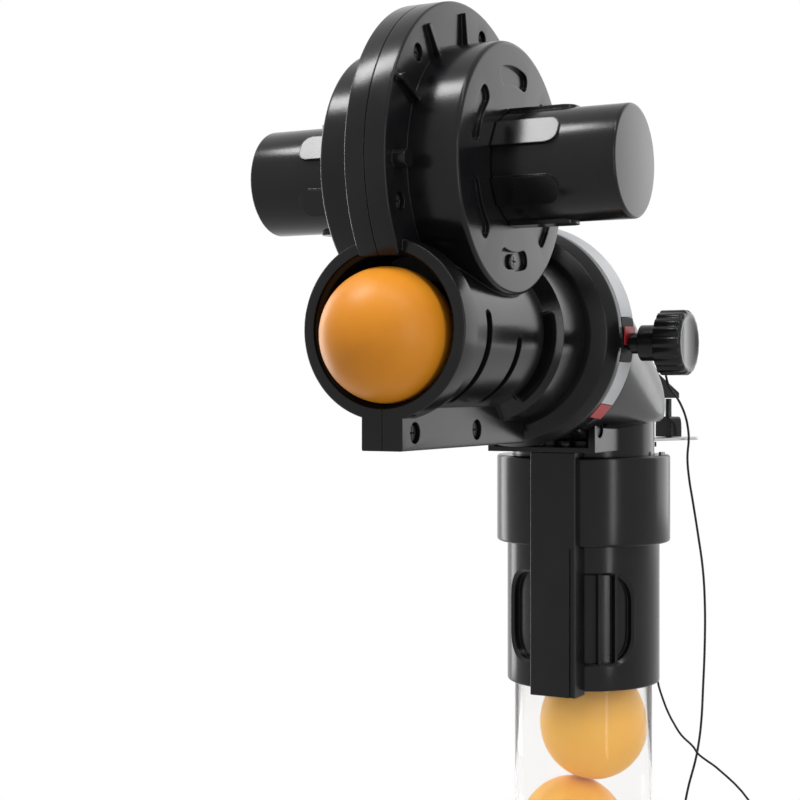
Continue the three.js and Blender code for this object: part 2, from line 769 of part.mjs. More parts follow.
// Turning ring: steps out from the barrel, its spigot seats in the elbow
const ringBore = barrelTail + fit;
const ringBack = elbowMouthY - fit;
const spigotEnd = socketFloor - fit;
piece('roll_ring', solid(onBarrel(turn([
  [ringBore, ringFront], [ringNeckRadius, ringFront], [ringStepRadius, ringStepY],
  [ringRadius, ringBack - ringThick], [ringRadius, ringBack], [spigotRadius, ringBack],
  [spigotRadius, spigotEnd], [barrelBore, spigotEnd], [barrelBore, barrelTailY + fit],
  [ringBore, barrelTailY + fit], [ringBore, ringFront],
]))), dark());

// Wheel housing: each half is one moulding of rim, drum, half barrel and half foot
const chamber = drumRadius - drumWall;
const chamberHalf = drumHalf - drumFace;
const barrelEnd = ringFront - fit;
const roundedDrum = [[0, 0], [drumRadius, 0]];
for (let i = 0; i <= edgeSteps; i += 1) {
  const angle = (Math.PI / 2) * (i / edgeSteps);
  roundedDrum.push([
    drumRadius - drumEdge * (1 - Math.cos(angle)), drumHalf - drumEdge * (1 - Math.sin(angle)),
  ]);
}
roundedDrum.push([0, drumHalf]);
const drum = solid(onWheel(turn(roundedDrum)));
const rim = solid(onWheel(turn([
  [0, 0], [rimRadius, 0], [rimRadius, rimHalf - rimEdge], [rimRadius - rimEdge, rimHalf], [0, rimHalf],
])));
const barrelShell = solid(onBarrel(turn([
  [0, muzzleY], [muzzleRadius - rimEdge, muzzleY], [muzzleRadius, muzzleY + rimEdge],
  [muzzleRadius, muzzleRingY], [barrelRadius, muzzleRingY + fit],
  [barrelRadius, flareY], [barrelRear, ringWideY], [barrelRear, barrelEnd],
  [barrelTail, barrelEnd], [barrelTail, barrelTailY], [0, barrelTailY],
])));
const foot = solid(block(0, rimHalf, muzzleY, barrelEnd, footLow, barrelZ - barrelBore));

const gussets = gussetAngles.map((angle) => solid(byWheel(
  slab(outline([
    [chamber, rimHalf - overrun], [gussetReach, rimHalf - overrun], [gussetReach, rimHalf + gussetFoot],
    [drumRadius, rimHalf + gussetRise], [chamber, rimHalf + gussetRise],
  ]), gussetThick).rotateX(-Math.PI / 2).translate(0, -gussetThick / 2, 0).rotateZ(rad(angle)), 0,
)));
const rimBoss = (radius, rise, reach, angle, steps) => {
  const [y, z] = wheelPoint(reach, angle);
  return solid(along(rod(radius, 0, rimHalf + rise, steps), 0, y, z));
};
const lug = rimBoss(lugRadius, lugRise, lugReach, lugAngle, coarse);
const rimPin = rimBoss(rimPinRadius, rimPinRise, rimPinReach, rimPinAngle, small);

const pockets = sixAngles.map((angle) => bentPatch(
  onDrumFace, (pocketInner + pocketOuter) / 2, [drumHalf - pocketDepth, drumHalf + overrun],
  [angle - pocketHalfAngle, angle + pocketHalfAngle], [pocketInner, pocketOuter],
  [pocketCorner, pocketCorner],
));
const slotCorner = slotWidth / 2 - weld;
const slots = slotY.map((y, i) => bentPatch(
  roundBarrel, barrelRadius, [barrelBore - overrun, barrelRear + overrun], [slotTo[i], slotFrom[i]],
  [y - slotWidth / 2, y + slotWidth / 2], [slotCorner, slotCorner],
));
const rimScrewPlaces = rimScrewAngles.map((angle) => wheelPoint(rimScrewReach, angle));
const footScrewPlaces = footHoleY.map((y) => [y, footHoleZ]);
const sunkFloor = rimHalf - screwSink;
const screwEnd = -rimHalf / 2;
const screwHoles = (places, headRadius) => places.flatMap(([y, z]) => [
  solid(along(rod(headRadius, sunkFloor, rimHalf + overrun, small), 0, y, z)),
  solid(along(rod(screwShank + fit, screwEnd - fit, sunkFloor + overrun, small), 0, y, z)),
]);
const capScrewPlace = wheelPoint((pocketInner + pocketOuter) / 2, capScrewAngle);
const pocketFloor = drumHalf - pocketDepth;
const pocketHole = solid(along(
  rod(screwShank / 2 + fit, pocketFloor - capScrewLength - fit, drumHalf, small), 0, ...capScrewPlace,
));
const bearingIn = drumHalf - bearingWidth;
const wheelChamber = () => join(
  solid(onWheel(rod(chamber, -chamberHalf, chamberHalf))),
  solid(onWheel(rod(bearingRadius + fit, -drumHalf - overrun, drumHalf + overrun, coarse))),
);
const boreCut = solid(onBarrel(turn([
  [0, muzzleY - overrun], [barrelBore + muzzleStep, muzzleY - overrun],
  [barrelBore + muzzleStep, muzzleY + muzzleStep], [barrelBore, muzzleY + 2 * muzzleStep],
  [barrelBore, barrelTailY + overrun], [0, barrelTailY + overrun],
])));
const ringClear = solid(onBarrel(pipe(barrelTail, ringRadius + fit, barrelEnd, 0)));
const halfBody = (extra, ...more) => cut(
  join(drum, rim, barrelShell, foot, ...extra), ringClear,
  boreCut, wheelChamber(), ...pockets, ...slots, pocketHole, ...more,
).intersect(half(1));
const rightHoles = [
  ...screwHoles(rimScrewPlaces, screwHead + fit), ...screwHoles(footScrewPlaces, footHoleRadius),
];
const leftHoles = [...rimScrewPlaces, ...footScrewPlaces].map(([y, z]) => solid(along(
  rod(screwShank + fit, -overrun, -screwEnd + fit, small), 0, y, z,
)));
piece('housing_right', halfBody([...gussets, lug, rimPin], ...rightHoles), black());
piece('housing_left', moved(halfBody(gussets, ...leftHoles), toLeft), black());

function screw(headRadius, places, name) {
  places.forEach(([y, z], i) => {
    piece(`${name}_${i + 1}`, join(
      solid(along(rod(screwShank, screwEnd, sunkFloor + fit + weld, small), 0, y, z)),
      solid(along(rod(headRadius, sunkFloor + fit, sunkFloor + fit + screwHeadHeight, small), 0, y, z)),
    ), steel());
  });
}

screw(screwHead, rimScrewPlaces, 'rim_screw');
screw(footHoleRadius - fit, footScrewPlaces, 'foot_screw');
const capScrewSeat = pocketFloor + fit;
const drumScrew = join(
  solid(along(
    rod(screwShank / 2, pocketFloor - capScrewLength, capScrewSeat + weld, small), 0, ...capScrewPlace,
  )),
  solid(along(rod(screwHead, capScrewSeat, capScrewSeat + capScrewHead, small), 0, ...capScrewPlace)),
);
piece('drum_screw_right', drumScrew, steel());
piece('drum_screw_left', moved(drumScrew, toLeft), steel());

// Motor caps with six raised pads
const capFrom = drumHalf + fit;
const capBody = cut(
  join(
    solid(onWheel(turn([
      [0, capFrom], [capRadius, capFrom], [capRadius, capEnd - capEdge], [capRadius - capEdge, capEnd],
      [0, capEnd],
    ]))),
    ...sixAngles.map((angle) => bentPatch(
      flatOnCap(angle), padRadius, [capRadius - capWall, padRadius],
      [angle - padHalfAngle, angle + padHalfAngle], [capFrom, padEnd], [0, padCorner],
    )),
  ),
  solid(onWheel(rod(motorRadius + fit, capFrom - overrun, capFrom + fit + motorLength + fit, medium))),
);
piece('motor_cap_right', capBody, black());
piece('motor_cap_left', moved(capBody, toLeft), black());
const motorFrom = capFrom + fit;
const motorBody = cut(
  solid(onWheel(rod(motorRadius, motorFrom, motorFrom + motorLength, medium))),
  solid(onWheel(rod(shaftRadius + fit, motorFrom - overrun, shaftHalf + fit, small))),
);
piece('motor_right', motorBody, steel());
piece('motor_left', moved(motorBody, toLeft), steel());
const bearing = solid(onWheel(pipe(shaftRadius + fit, bearingRadius, bearingIn, drumHalf, coarse)));
piece('bearing_right', bearing, steel());
piece('bearing_left', moved(bearing, toLeft), steel());

// Wheel on its shaft
piece('wheel_shaft', solid(onWheel(rod(shaftRadius, -shaftHalf, shaftHalf, small))), steel());
const hubRim = tyreInner - fit;
const hubPlate = join(
  solid(onWheel(pipe(hubRim - hubWeb, hubRim, -tyreHalf, tyreHalf, medium))),
  solid(onWheel(rod(hubRim - hubWeb / 2, -hubWeb, hubWeb, medium))),
  solid(onWheel(rod(hubRadius, -hubHalf, hubHalf, coarse))),
);
const hubReach = (hubRadius + hubRim - hubWeb) / 2;
piece('wheel_hub', cut(
  hubPlate, solid(onWheel(rod(shaftRadius + fit, -hubHalf - overrun, hubHalf + overrun, small))),
  ...Array.from({ length: hubHoles }, (_, i) => {
    const [y, z] = wheelPoint(hubReach, (360 * i) / hubHoles);
    return solid(along(rod(hubHoleRadius, -hubHalf, hubHalf, small), 0, y, z));
  }),
), dark());
piece('wheel_tyre', solid(onWheel(turn([
  [tyreInner, -tyreHalf], [tyreRadius - tyreHollow, -tyreHalf], [tyreRadius, -tyreHalf + tyreHollow],
  [tyreRadius - tyreHollow, 0], [tyreRadius, tyreHalf - tyreHollow],
  [tyreRadius - tyreHollow, tyreHalf], [tyreInner, tyreHalf], [tyreInner, -tyreHalf],
]))), rubber());

// Leads: the loose stretch follows the photograph, the rest lies in a small coil on the level of
// the tube's lower end
const cordShape = (diameter) => {
  const shape = new THREE.Shape();
  shape.absarc(0, 0, diameter / 2, 0, 2 * Math.PI, false);
  return shape;
};

function leadStretch(name, points, diameter) {
  const path = points.map(([x, y, z]) => new THREE.Vector3(x, y, z));
  const curve = new THREE.CatmullRomCurve3(path, false, 'centripetal');
  const steps = Math.min(cordSteps, Math.round(curve.getLength() / (cordStep * diameter)));
  piece(name, solid(new THREE.ExtrudeGeometry(cordShape(diameter), {
    steps, extrudePath: curve, curveSegments: cordSides / 2, bevelEnabled: false,
  })), dark());
  console.log(`${name}: ${curve.getLength().toFixed(1)} mm long`);
}

// A tube through points that lie almost level
function levelTube(points, radius, sides) {
  return loft(points.map((point, i) => {
    const before = points[Math.max(i - 1, 0)];
    const after = points[Math.min(i + 1, points.length - 1)];
    const ahead = after.clone().sub(before).normalize();
    const across = ahead.clone().cross(new THREE.Vector3(0, 0, 1)).normalize();
    const up = across.clone().cross(ahead);
    return Array.from({ length: sides }, (_, k) => {
      const angle = (2 * Math.PI * (k + 1 / 2)) / sides;
      return point.clone().addScaledVector(across, radius * Math.cos(angle))
        .addScaledVector(up, radius * Math.sin(angle));
    });
  }));
}

// Two layers of turns: the spiral runs in, climbs a layer in half a turn and runs out again
function leadCoil(name, centre, startAngle, diameter, tail) {
  const pitch = diameter + coilGap;
  const layerTurns = coilTurns / 2;
  const outer = (coilAcross * diameter) / 2 + (pitch * layerTurns) / 2;
  const points = [];
  for (let i = 0; i <= coilTurns * coilSteps; i += 1) {
    const turns = i / coilSteps;
    const inward = turns < layerTurns ? turns : coilTurns - turns;
    const climb = THREE.MathUtils.clamp((turns - layerTurns + 1 / 4) * 2, 0, 1);
    const radius = outer - pitch * inward;
    const angle = rad(startAngle) + 2 * Math.PI * turns;
    points.push(new THREE.Vector3(
      centre[0] + radius * Math.cos(angle), centre[1] + radius * Math.sin(angle),
      diameter / 2 + pitch * climb,
    ));
  }
  const heading = new THREE.Vector3(-Math.sin(rad(startAngle)), Math.cos(rad(startAngle)), 0);
  points.unshift(points[0].clone().addScaledVector(heading, -diameter));
  points.push(points.at(-1).clone().addScaledVector(heading, diameter));
  points.push(points.at(-1).clone().addScaledVector(heading, tail));
  let least = Infinity;
  points.forEach((a, i) => points.slice(i + coilSteps / 2).forEach((b) => {
    least = Math.min(least, a.distanceTo(b) - diameter);
  }));
  let length = 0;
  for (let i = 1; i < points.length; i += 1) length += points[i].distanceTo(points[i - 1]);
  console.log(`${name}: ${length.toFixed(1)} mm long, least gap to itself ${least.toFixed(2)} mm`);
  piece(name, levelTube(points, diameter / 2, coilSides), dark());
  return { start: points[0], end: points.at(-1), heading };
}

// A two pole plug with a waist, its cord end towards the coil
function leadPlug(name, coil) {
  const shape = outline([
    [0, -plugNeck / 2], [plugLength * plugWaistShare, -plugNeck / 2],
    [plugLength * plugWaistShare, -plugWidth / 2], [plugLength, -plugWidth / 2],
    [plugLength, plugWidth / 2], [plugLength * plugWaistShare, plugWidth / 2],
    [plugLength * plugWaistShare, plugNeck / 2], [0, plugNeck / 2],
  ]);
  const body = slab(shape, plugHeight).rotateZ(Math.atan2(coil.heading.y, coil.heading.x));
  const place = coil.end.clone().addScaledVector(coil.heading, fit);
  piece(name, solid(body.translate(place.x, place.y, coil.end.z - plugHeight / 2)), dark());
}

for (const [word, diameter, centre, angle, route, exit] of [
  ['lead_a', leadA, coilCentreA, -90, routeA, [glandX, glandY, glandTop + 2 * fit]],
  ['lead_b', leadB, coilCentreB, 180, routeB, [
    (cupRadius + 2 * fit + glandLength) * Math.cos(rad(lowerGlandAngle)),
    (cupRadius + 2 * fit + glandLength) * Math.sin(rad(lowerGlandAngle)), lowerGlandZ,
  ]],
]) {
  const coil = leadCoil(`${word}_coil`, centre, angle, diameter, plugTail);
  leadPlug(`${word}_plug`, coil);
  const meet = coil.start.clone().addScaledVector(coil.heading, -fit);
  const before = meet.clone().addScaledVector(coil.heading, -cordStep * diameter);
  leadStretch(word, [exit, ...route, before.toArray(), meet.toArray()], diameter);
}

export default group;
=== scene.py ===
import math
import re

import bmesh
import bpy
from mathutils import Matrix, Vector


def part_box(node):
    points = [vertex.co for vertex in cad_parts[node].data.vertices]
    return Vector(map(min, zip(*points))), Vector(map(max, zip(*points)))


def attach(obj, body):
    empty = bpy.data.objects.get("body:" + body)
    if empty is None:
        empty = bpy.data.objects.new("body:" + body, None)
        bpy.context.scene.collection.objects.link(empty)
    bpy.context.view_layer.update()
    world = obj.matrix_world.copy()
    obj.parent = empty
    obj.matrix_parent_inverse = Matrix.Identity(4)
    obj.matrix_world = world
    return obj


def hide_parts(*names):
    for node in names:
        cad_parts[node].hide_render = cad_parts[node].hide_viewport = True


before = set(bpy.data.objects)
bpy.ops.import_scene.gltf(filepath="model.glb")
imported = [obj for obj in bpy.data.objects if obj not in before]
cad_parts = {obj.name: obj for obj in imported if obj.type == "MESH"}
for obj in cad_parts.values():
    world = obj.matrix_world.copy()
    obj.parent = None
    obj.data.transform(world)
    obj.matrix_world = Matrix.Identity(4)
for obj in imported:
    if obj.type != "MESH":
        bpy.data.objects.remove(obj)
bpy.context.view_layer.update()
print("frame loaded")

mm = 0.001
gap = 0.3           # clearance between meeting pieces
over = 2            # how far a cutter reaches past a face
fine = 128          # steps round a full turn
barrelZ = 201.37    # height of the barrel's axis, which runs along Y
wheelY = -111.97    # axis of wheel, drum and rim, which runs along X
wheelZ = 250.91


def addObject(name, data):
    item = bpy.data.objects.new(name, data)
    bpy.context.scene.collection.objects.link(item)
    return item


# Camera at the photograph's angle

photoView = {
    "lens": 74.845, "sensor": 36, "shift": -0.0202,
    "place": (0.23409, -0.57382, 0.18545), "turn": (90, 0, 28.48),
}


def lookLikeThePhoto():
    data = bpy.data.cameras.new("photoCamera")
    data.lens = photoView["lens"]
    data.sensor_width = photoView["sensor"]
    data.shift_y = photoView["shift"]
    camera = addObject("photoCamera", data)
    camera.location = photoView["place"]
    camera.rotation_euler = [math.radians(angle) for angle in photoView["turn"]]
    bpy.context.scene.camera = camera


lookLikeThePhoto()


# Node trees: a socket is given a plain value, an output, or a node for its first output

def feed(tree, node, values):
    for socket, value in values.items():
        if isinstance(value, bpy.types.Node):
            value = value.outputs[0]
        if isinstance(value, bpy.types.NodeSocket):
            tree.links.new(value, node.inputs[socket])
        else:
            node.inputs[socket].default_value = value


def addNode(tree, kind, values=None, **settings):
    node = tree.nodes.new(kind)
    for name, value in settings.items():
        setattr(node, name, value)
    feed(tree, node, values or {})
    return node


def newTree(name, kind, inputs, outputs):
    tree = bpy.data.node_groups.new(name, kind)
    for way, sockets in (("INPUT", inputs), ("OUTPUT", outputs)):
        for label, value in sockets.items():
            tree.interface.new_socket(label, in_out=way, socket_type="NodeSocket" + value)
    return tree, addNode(tree, "NodeGroupInput").outputs


# Materials

mouldedLook = {
    "grainDetail": 3, "grainDepth": 0.00012, "patchScale": 55, "patchDetail": 5,
    "edgeRadius": 0.0005, "edgeSamples": 4, "darkTo": 0.35, "lightFrom": 0.65,
}
drawnTube = {
    "streaks": (900, 900, 12), "height": 0.03, "depth": 0.0001,
    "colour": (0.985, 0.988, 0.99, 1), "roughness": 0.03, "ior": 1.2, "transmission": 0.96,
}
throughBall = {"Subsurface Weight": 0.15, "Subsurface Radius": (0.004, 0.002, 0.0006)}


def newMaterial(name):
    material = bpy.data.materials.new(name)
    material.use_nodes = True
    return material, material.node_tree, material.node_tree.nodes["Principled BSDF"]


# Fine grain, patchy roughness and slightly worn edges
def makeMouldedGroup():
    tree, given = newTree(
        "mouldedSurface", "ShaderNodeTree",
        {"Grain Scale": "Float", "Grain Height": "Float", "Roughness": "Float",
         "Patchiness": "Float"},
        {"Roughness": "Float", "Shade": "Float", "Normal": "Vector"})
    place = addNode(tree, "ShaderNodeTexCoord").outputs["Object"]
    grain = addNode(tree, "ShaderNodeTexNoise", {
        "Vector": place, "Scale": given["Grain Scale"], "Detail": mouldedLook["grainDetail"]})
    patches = addNode(tree, "ShaderNodeTexNoise", {
        "Vector": place, "Scale": mouldedLook["patchScale"],
        "Detail": mouldedLook["patchDetail"]})
    centred = addNode(tree, "ShaderNodeMath", {0: patches, 1: 0.5}, operation="SUBTRACT")
    spread = addNode(tree, "ShaderNodeMath", {
        0: centred, 1: given["Patchiness"], 2: given["Roughness"],
    }, operation="MULTIPLY_ADD")
    edges = addNode(tree, "ShaderNodeBevel", {"Radius": mouldedLook["edgeRadius"]},
                    samples=mouldedLook["edgeSamples"])
    bump = addNode(tree, "ShaderNodeBump", {
        "Distance": mouldedLook["grainDepth"], "Height": grain,
        "Strength": given["Grain Height"], "Normal": edges})
    addNode(tree, "NodeGroupOutput", {"Roughness": spread, "Shade": patches, "Normal": bump})
    return tree


mouldedGroup = makeMouldedGroup()


def mouldedMaterial(name, dark, light, roughness, grain=1800, height=0.12, patchiness=0.12,
                    metallic=0, specular=0.5, celluloid=False):
    material, tree, shader = newMaterial(name)
    surface = addNode(tree, "ShaderNodeGroup", {
        "Grain Scale": grain, "Grain Height": height, "Roughness": roughness,
        "Patchiness": patchiness}, node_tree=mouldedGroup).outputs
    ramp = addNode(tree, "ShaderNodeValToRGB", {"Fac": surface["Shade"]})
    for stop, key, colour in zip(ramp.color_ramp.elements, ("darkTo", "lightFrom"), (dark, light)):
        stop.position = mouldedLook[key]
        stop.color = (*colour, 1)
    feed(tree, shader, {
        "Base Color": ramp, "Roughness": surface["Roughness"], "Normal": surface["Normal"],
        "Metallic": metallic, "Specular IOR Level": specular})
    if celluloid:
        feed(tree, shader, throughBall)
    return material


def clearMaterial():
    material, tree, shader = newMaterial("clearTube")
    place = addNode(tree, "ShaderNodeTexCoord").outputs["Object"]
    draw = addNode(tree, "ShaderNodeMapping", {"Vector": place, "Scale": drawnTube["streaks"]})
    streaks = addNode(tree, "ShaderNodeTexNoise", {"Vector": draw, "Scale": 1})
    bump = addNode(tree, "ShaderNodeBump", {
        "Height": streaks, "Strength": drawnTube["height"], "Distance": drawnTube["depth"]})
    feed(tree, shader, {
        "Base Color": drawnTube["colour"], "Roughness": drawnTube["roughness"],
        "IOR": drawnTube["ior"], "Transmission Weight": drawnTube["transmission"],
        "Normal": bump})
    return material


steelGrain = {"grain": 2600, "height": 0.08, "patchiness": 0.1}
ballGrain = {"grain": 2400, "height": 0.1, "patchiness": 0.06, "specular": 0.25, "celluloid": True}
# Name, slot, colours of the darker and the lighter patches, roughness, and what else is special
finishes = {
    "black": ("blackShell", "black_shell", (0.005, 0.005, 0.0058), (0.008, 0.008, 0.009), 0.2,
              {"specular": 0.2}),
    "cap": ("glossyCap", "black_shell", (0.005, 0.005, 0.0058), (0.008, 0.008, 0.009), 0.2,
            {"specular": 0.22}),
    "ring": ("darkRing", "dark_ring", (0.004, 0.004, 0.0045), (0.007, 0.007, 0.0075), 0.28,
             {"specular": 0.16}),
    "trim": ("darkTrim", "dark_trim", (0.006, 0.006, 0.0065), (0.009, 0.009, 0.0095), 0.5,
             {"specular": 0.16}),
    "lead": ("leadCover", "lead_cover", (0.010, 0.010, 0.011), (0.018, 0.018, 0.019), 0.5,
             {"grain": 4000, "specular": 0.2}),
    "pale": ("paleBand", "pale_band", (0.40, 0.41, 0.43), (0.48, 0.49, 0.51), 0.38,
             {"grain": 1500}),
    "red": ("redMark", "red_mark", (0.30, 0.004, 0.008), (0.40, 0.008, 0.014), 0.4,
            {"grain": 2500}),
    "bush": ("neckBush", "bush", (0.55, 0.55, 0.50), (0.65, 0.65, 0.60), 0.5, {}),
    "tyre": ("tyreRubber", "tyre", (0.014, 0.014, 0.014), (0.024, 0.024, 0.023), 0.8,
             {"grain": 900, "height": 0.5}),
    "steel": ("plainSteel", "steel", (0.30, 0.30, 0.31), (0.42, 0.42, 0.43), 0.34,
              {**steelGrain, "metallic": 1}),
    "blackSteel": ("blackedSteel", "steel", (0.02, 0.02, 0.022), (0.035, 0.035, 0.037), 0.38,
                   {**steelGrain, "metallic": 0.6}),
    "plate": ("zincPlate", "steel", (0.42, 0.42, 0.41), (0.55, 0.55, 0.54), 0.4,
              {**steelGrain, "height": 0.06, "metallic": 1}),
    "ball": ("orangeBall", "ball", (0.66, 0.235, 0.012), (0.7, 0.26, 0.016), 0.42, ballGrain),
    # The same orange ball in a lighter colour: a painted highlight for the two balls lit inside the
    # tube
    "paintedLitBall": ("paleOrangeBall", "ball", (0.90, 0.43, 0.018), (0.93, 0.47, 0.026), 0.42,
                 ballGrain),
}
materials, slots = {"clear": clearMaterial()}, {"clear": "clear_tube"}
for kind, (name, slot, *look, more) in finishes.items():
    materials[kind] = mouldedMaterial(name, *look, **more)
    slots[kind] = slot
print("materials made")


# Mesh helpers, in millimetres

# Places for a profile turned round an axis along X or Z
def alongX(y, z):
    def place(radius, angle, x):
        return Vector((x, y - radius * math.cos(angle), z + radius * math.sin(angle)))

    return place


def alongZ(x, y):
    def place(radius, angle, z):
        return Vector((x + radius * math.cos(angle), y + radius * math.sin(angle), z))

    return place


toMast = alongZ(0, 0)
toWheel = alongX(wheelY, wheelZ)


def toBarrel(radius, angle, y):
    return Vector((radius * math.cos(angle), y, barrelZ + radius * math.sin(angle)))


# Places for an outline drawn from above, from the front or from the side
def fromAbove(a, b, height):
    return Vector((a, b, height))


def fromFront(a, b, depth):
    return Vector((a, depth, b))


def fromSide(a, b, width):
    return Vector((width, a, b))


def nodeCentre(node):
    low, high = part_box(node)
    return [(low[i] + high[i]) / 2 / mm for i in range(3)]


def meshPiece(build, name="shape"):
    shape = bmesh.new()
    build(shape)
    bmesh.ops.recalc_face_normals(shape, faces=shape.faces)
    shape.transform(Matrix.Scale(mm, 4))
    data = bpy.data.meshes.new(name)
    shape.to_mesh(data)
    shape.free()
    return addObject(name, data)


def skinRings(shape, rings):
    count = len(rings[0])
    for one, two in zip(rings, rings[1:]):
        for k in range(count):
            n = (k + 1) % count
            shape.faces.new((one[k], two[k], two[n], one[n]))
    shape.faces.new(rings[0])
    shape.faces.new(list(reversed(rings[-1])))


# A profile of (radius, height) points turned round an axis, a full turn or less
def sweep(profile, place, start=0.0, end=360.0, steps=fine):
    whole = end - start >= 360
    closed = profile[0][0] > 0 or profile[-1][0] > 0

    def build(shape):
        rings = []
        count = steps if whole else steps + 1
        centre = {}
        for i in range(count):
            angle = math.radians(start + (end - start) * i / steps)
            ring = []
            for k, (radius, height) in enumerate(profile):
                if radius == 0 and whole:
                    if k not in centre:
                        centre[k] = shape.verts.new(place(0, 0, height))
                    ring.append(centre[k])
                else:
                    ring.append(shape.verts.new(place(radius, angle, height)))
            rings.append(ring)
        spans = len(profile) if closed else len(profile) - 1
        for i in range(steps):
            one = rings[i]
            two = rings[(i + 1) % count]
            for k in range(spans):
                n = (k + 1) % len(profile)
                corners = []
                for vert in (one[k], two[k], two[n], one[n]):
                    if vert not in corners:
                        corners.append(vert)
                if len(corners) > 2:
                    shape.faces.new(corners)
        if not whole:
            shape.faces.new(rings[0])
            shape.faces.new(list(reversed(rings[-1])))

    return meshPiece(build)


def disc(radius, low, high, place, steps=fine):
    return sweep([(0, low), (radius, low), (radius, high), (0, high)], place, steps=steps)


def prism(outline, place, low, high):
    def build(shape):
        skinRings(shape, [[shape.verts.new(place(a, b, level)) for a, b in outline]
                          for level in (low, high)])

    return meshPiece(build)


def block(x0, x1, y0, y1, z0, z1):
    return prism([(x0, y0), (x1, y0), (x1, y1), (x0, y1)], fromAbove, z0, z1)


def hull(points):
    def build(shape):
        for point in points:
            shape.verts.new(point)
        made = bmesh.ops.convex_hull(shape, input=shape.verts)
        loose = {item for item in made["geom_interior"] + made["geom_unused"]
                 if isinstance(item, bmesh.types.BMVert)}
        bmesh.ops.delete(shape, geom=list(loose), context="VERTS")

    return meshPiece(build)


# Applies a piece's modifiers
def settle(piece):
    graph = bpy.context.evaluated_depsgraph_get()
    data = bpy.data.meshes.new_from_object(piece.evaluated_get(graph))
    piece.modifiers.clear()
    piece.data = data
    return piece


def combine(target, others, operation):
    for other in others:
        step = target.modifiers.new("Combine", "BOOLEAN")
        step.object = other
        step.operation = operation
        step.solver = "MANIFOLD"
    settle(target)
    for other in others:
        bpy.data.objects.remove(other)
    return target


def join(target, *others):
    return combine(target, others, "UNION")


def cut(target, *others):
    return combine(target, others, "DIFFERENCE")


# Keeps what lies on one side of the seam on X 0
def halfOf(target, seam, way=1):
    far = 400
    low, high = sorted((way * seam, way * far))
    return combine(target, [block(low, high, -far, far, -far, far)], "INTERSECT")


def copied(piece):
    return addObject(piece.name, piece.data.copy())


def mirrored(piece):
    twin = copied(piece)
    twin.data.transform(Matrix.Scale(-1, 4, (1, 0, 0)))
    twin.data.flip_normals()
    return twin


# Rounds the named corners of an outline
def softened(profile, corners, radius, steps=4):
    points = []
    for i, point in enumerate(profile):
        if i not in corners:
            points.append(point)
            continue
        here = Vector(point)
        before = (Vector(profile[i - 1]) - here).normalized()
        after = (Vector(profile[(i + 1) % len(profile)]) - here).normalized()
        for k in range(steps + 1):
            t = k / steps
            bend = here + before * radius * (1 - t) ** 2 + after * radius * t ** 2
            points.append((bend.x, bend.y))
    return points


# A quarter round where a side meets an end face, as radii and distances from that face
def rounded(radius, edge, steps):
    return [(radius - edge * (1 - math.cos(t)), edge * (1 - math.sin(t)))
            for t in [math.pi / 2 * i / steps for i in range(steps + 1)]]


patchSteps = {"corner": 10, "least": 8, "angle": 1.5}


# A rounded patch of a round wall that may flare outwards;
# point takes a depth, an angle and a height
def bentPatch(point, reach, depth, angles, heights, corners, flare=0):
    length = math.radians(angles[1] - angles[0]) * reach
    widest = max(corners)
    count = patchSteps["corner"]
    places = [widest * (1 - math.cos(math.pi / 2 * i / count)) for i in range(count + 1)]
    middle = max(patchSteps["least"], round((angles[1] - angles[0]) / patchSteps["angle"]))
    ends = [length - place for place in reversed(places)]
    places += [widest + (length - 2 * widest) * i / middle for i in range(1, middle)] + ends

    def inset(place, rounding):
        left = min(place, length - place)
        if left >= rounding:
            return 0
        return rounding - math.sqrt(rounding ** 2 - (rounding - left) ** 2)

    def build(shape):
        rings = []
        for place in places:
            angle = math.radians(angles[0]) + place / reach
            wider = angle + (place / length - 0.5) * 2 * flare / reach
            low = heights[0] + inset(place, corners[0])
            high = heights[1] - inset(place, corners[1])
            rings.append([shape.verts.new(point(*corner)) for corner in (
                (depth[0], angle, low), (depth[1], wider, low - flare),
                (depth[1], wider, high + flare), (depth[0], angle, high))])
        skinRings(shape, rings)

    return meshPiece(build)


# A node tree that turns one solid into a ring of copies

def makeRadialTree():
    tree, given = newTree(
        "radialCopies", "GeometryNodeTree",
        {"Geometry": "Geometry", "Count": "Int", "Step": "Float", "Centre": "Vector",
         "Axis": "Vector", "Material": "Material"},
        {"Geometry": "Geometry"})
    inward = addNode(tree, "ShaderNodeVectorMath", {0: given["Centre"], "Scale": -1},
                     operation="SCALE")
    solid = addNode(tree, "GeometryNodeTransform", {
        "Geometry": given["Geometry"], "Translation": inward})
    points = addNode(tree, "GeometryNodeMeshLine", {"Count": given["Count"], "Offset": (0, 0, 0)})
    index = addNode(tree, "GeometryNodeInputIndex")
    turn = addNode(tree, "ShaderNodeMath", {0: index, 1: given["Step"]}, operation="MULTIPLY")
    spin = addNode(tree, "FunctionNodeAxisAngleToRotation", {"Axis": given["Axis"], "Angle": turn})
    copies = addNode(tree, "GeometryNodeInstanceOnPoints", {
        "Points": points, "Instance": solid, "Rotation": spin})
    real = addNode(tree, "GeometryNodeRealizeInstances", {"Geometry": copies})
    outward = addNode(tree, "GeometryNodeTransform", {
        "Geometry": real, "Translation": given["Centre"]})
    paint = addNode(tree, "GeometryNodeSetMaterial", {
        "Geometry": outward, "Material": given["Material"]})
    addNode(tree, "NodeGroupOutput", {"Geometry": paint})
    return tree


radialTree = makeRadialTree()
wheelTurn = (-1, 0, 0)


def aroundWheel(piece, count, step):
    copies = piece.modifiers.new("Copies", "NODES")
    copies.node_group = radialTree
    sockets = {item.name: item.identifier for item in radialTree.interface.items_tree
               if item.in_out == "INPUT"}
    copies[sockets["Count"]] = count
    copies[sockets["Step"]] = math.radians(step)
    copies[sockets["Centre"]] = [0, wheelY * mm, wheelZ * mm]
    copies[sockets["Axis"]] = wheelTurn
    copies[sockets["Material"]] = materials["black"]
    return settle(piece)


# Hand-over of a finished piece, which stands for the node of the same name

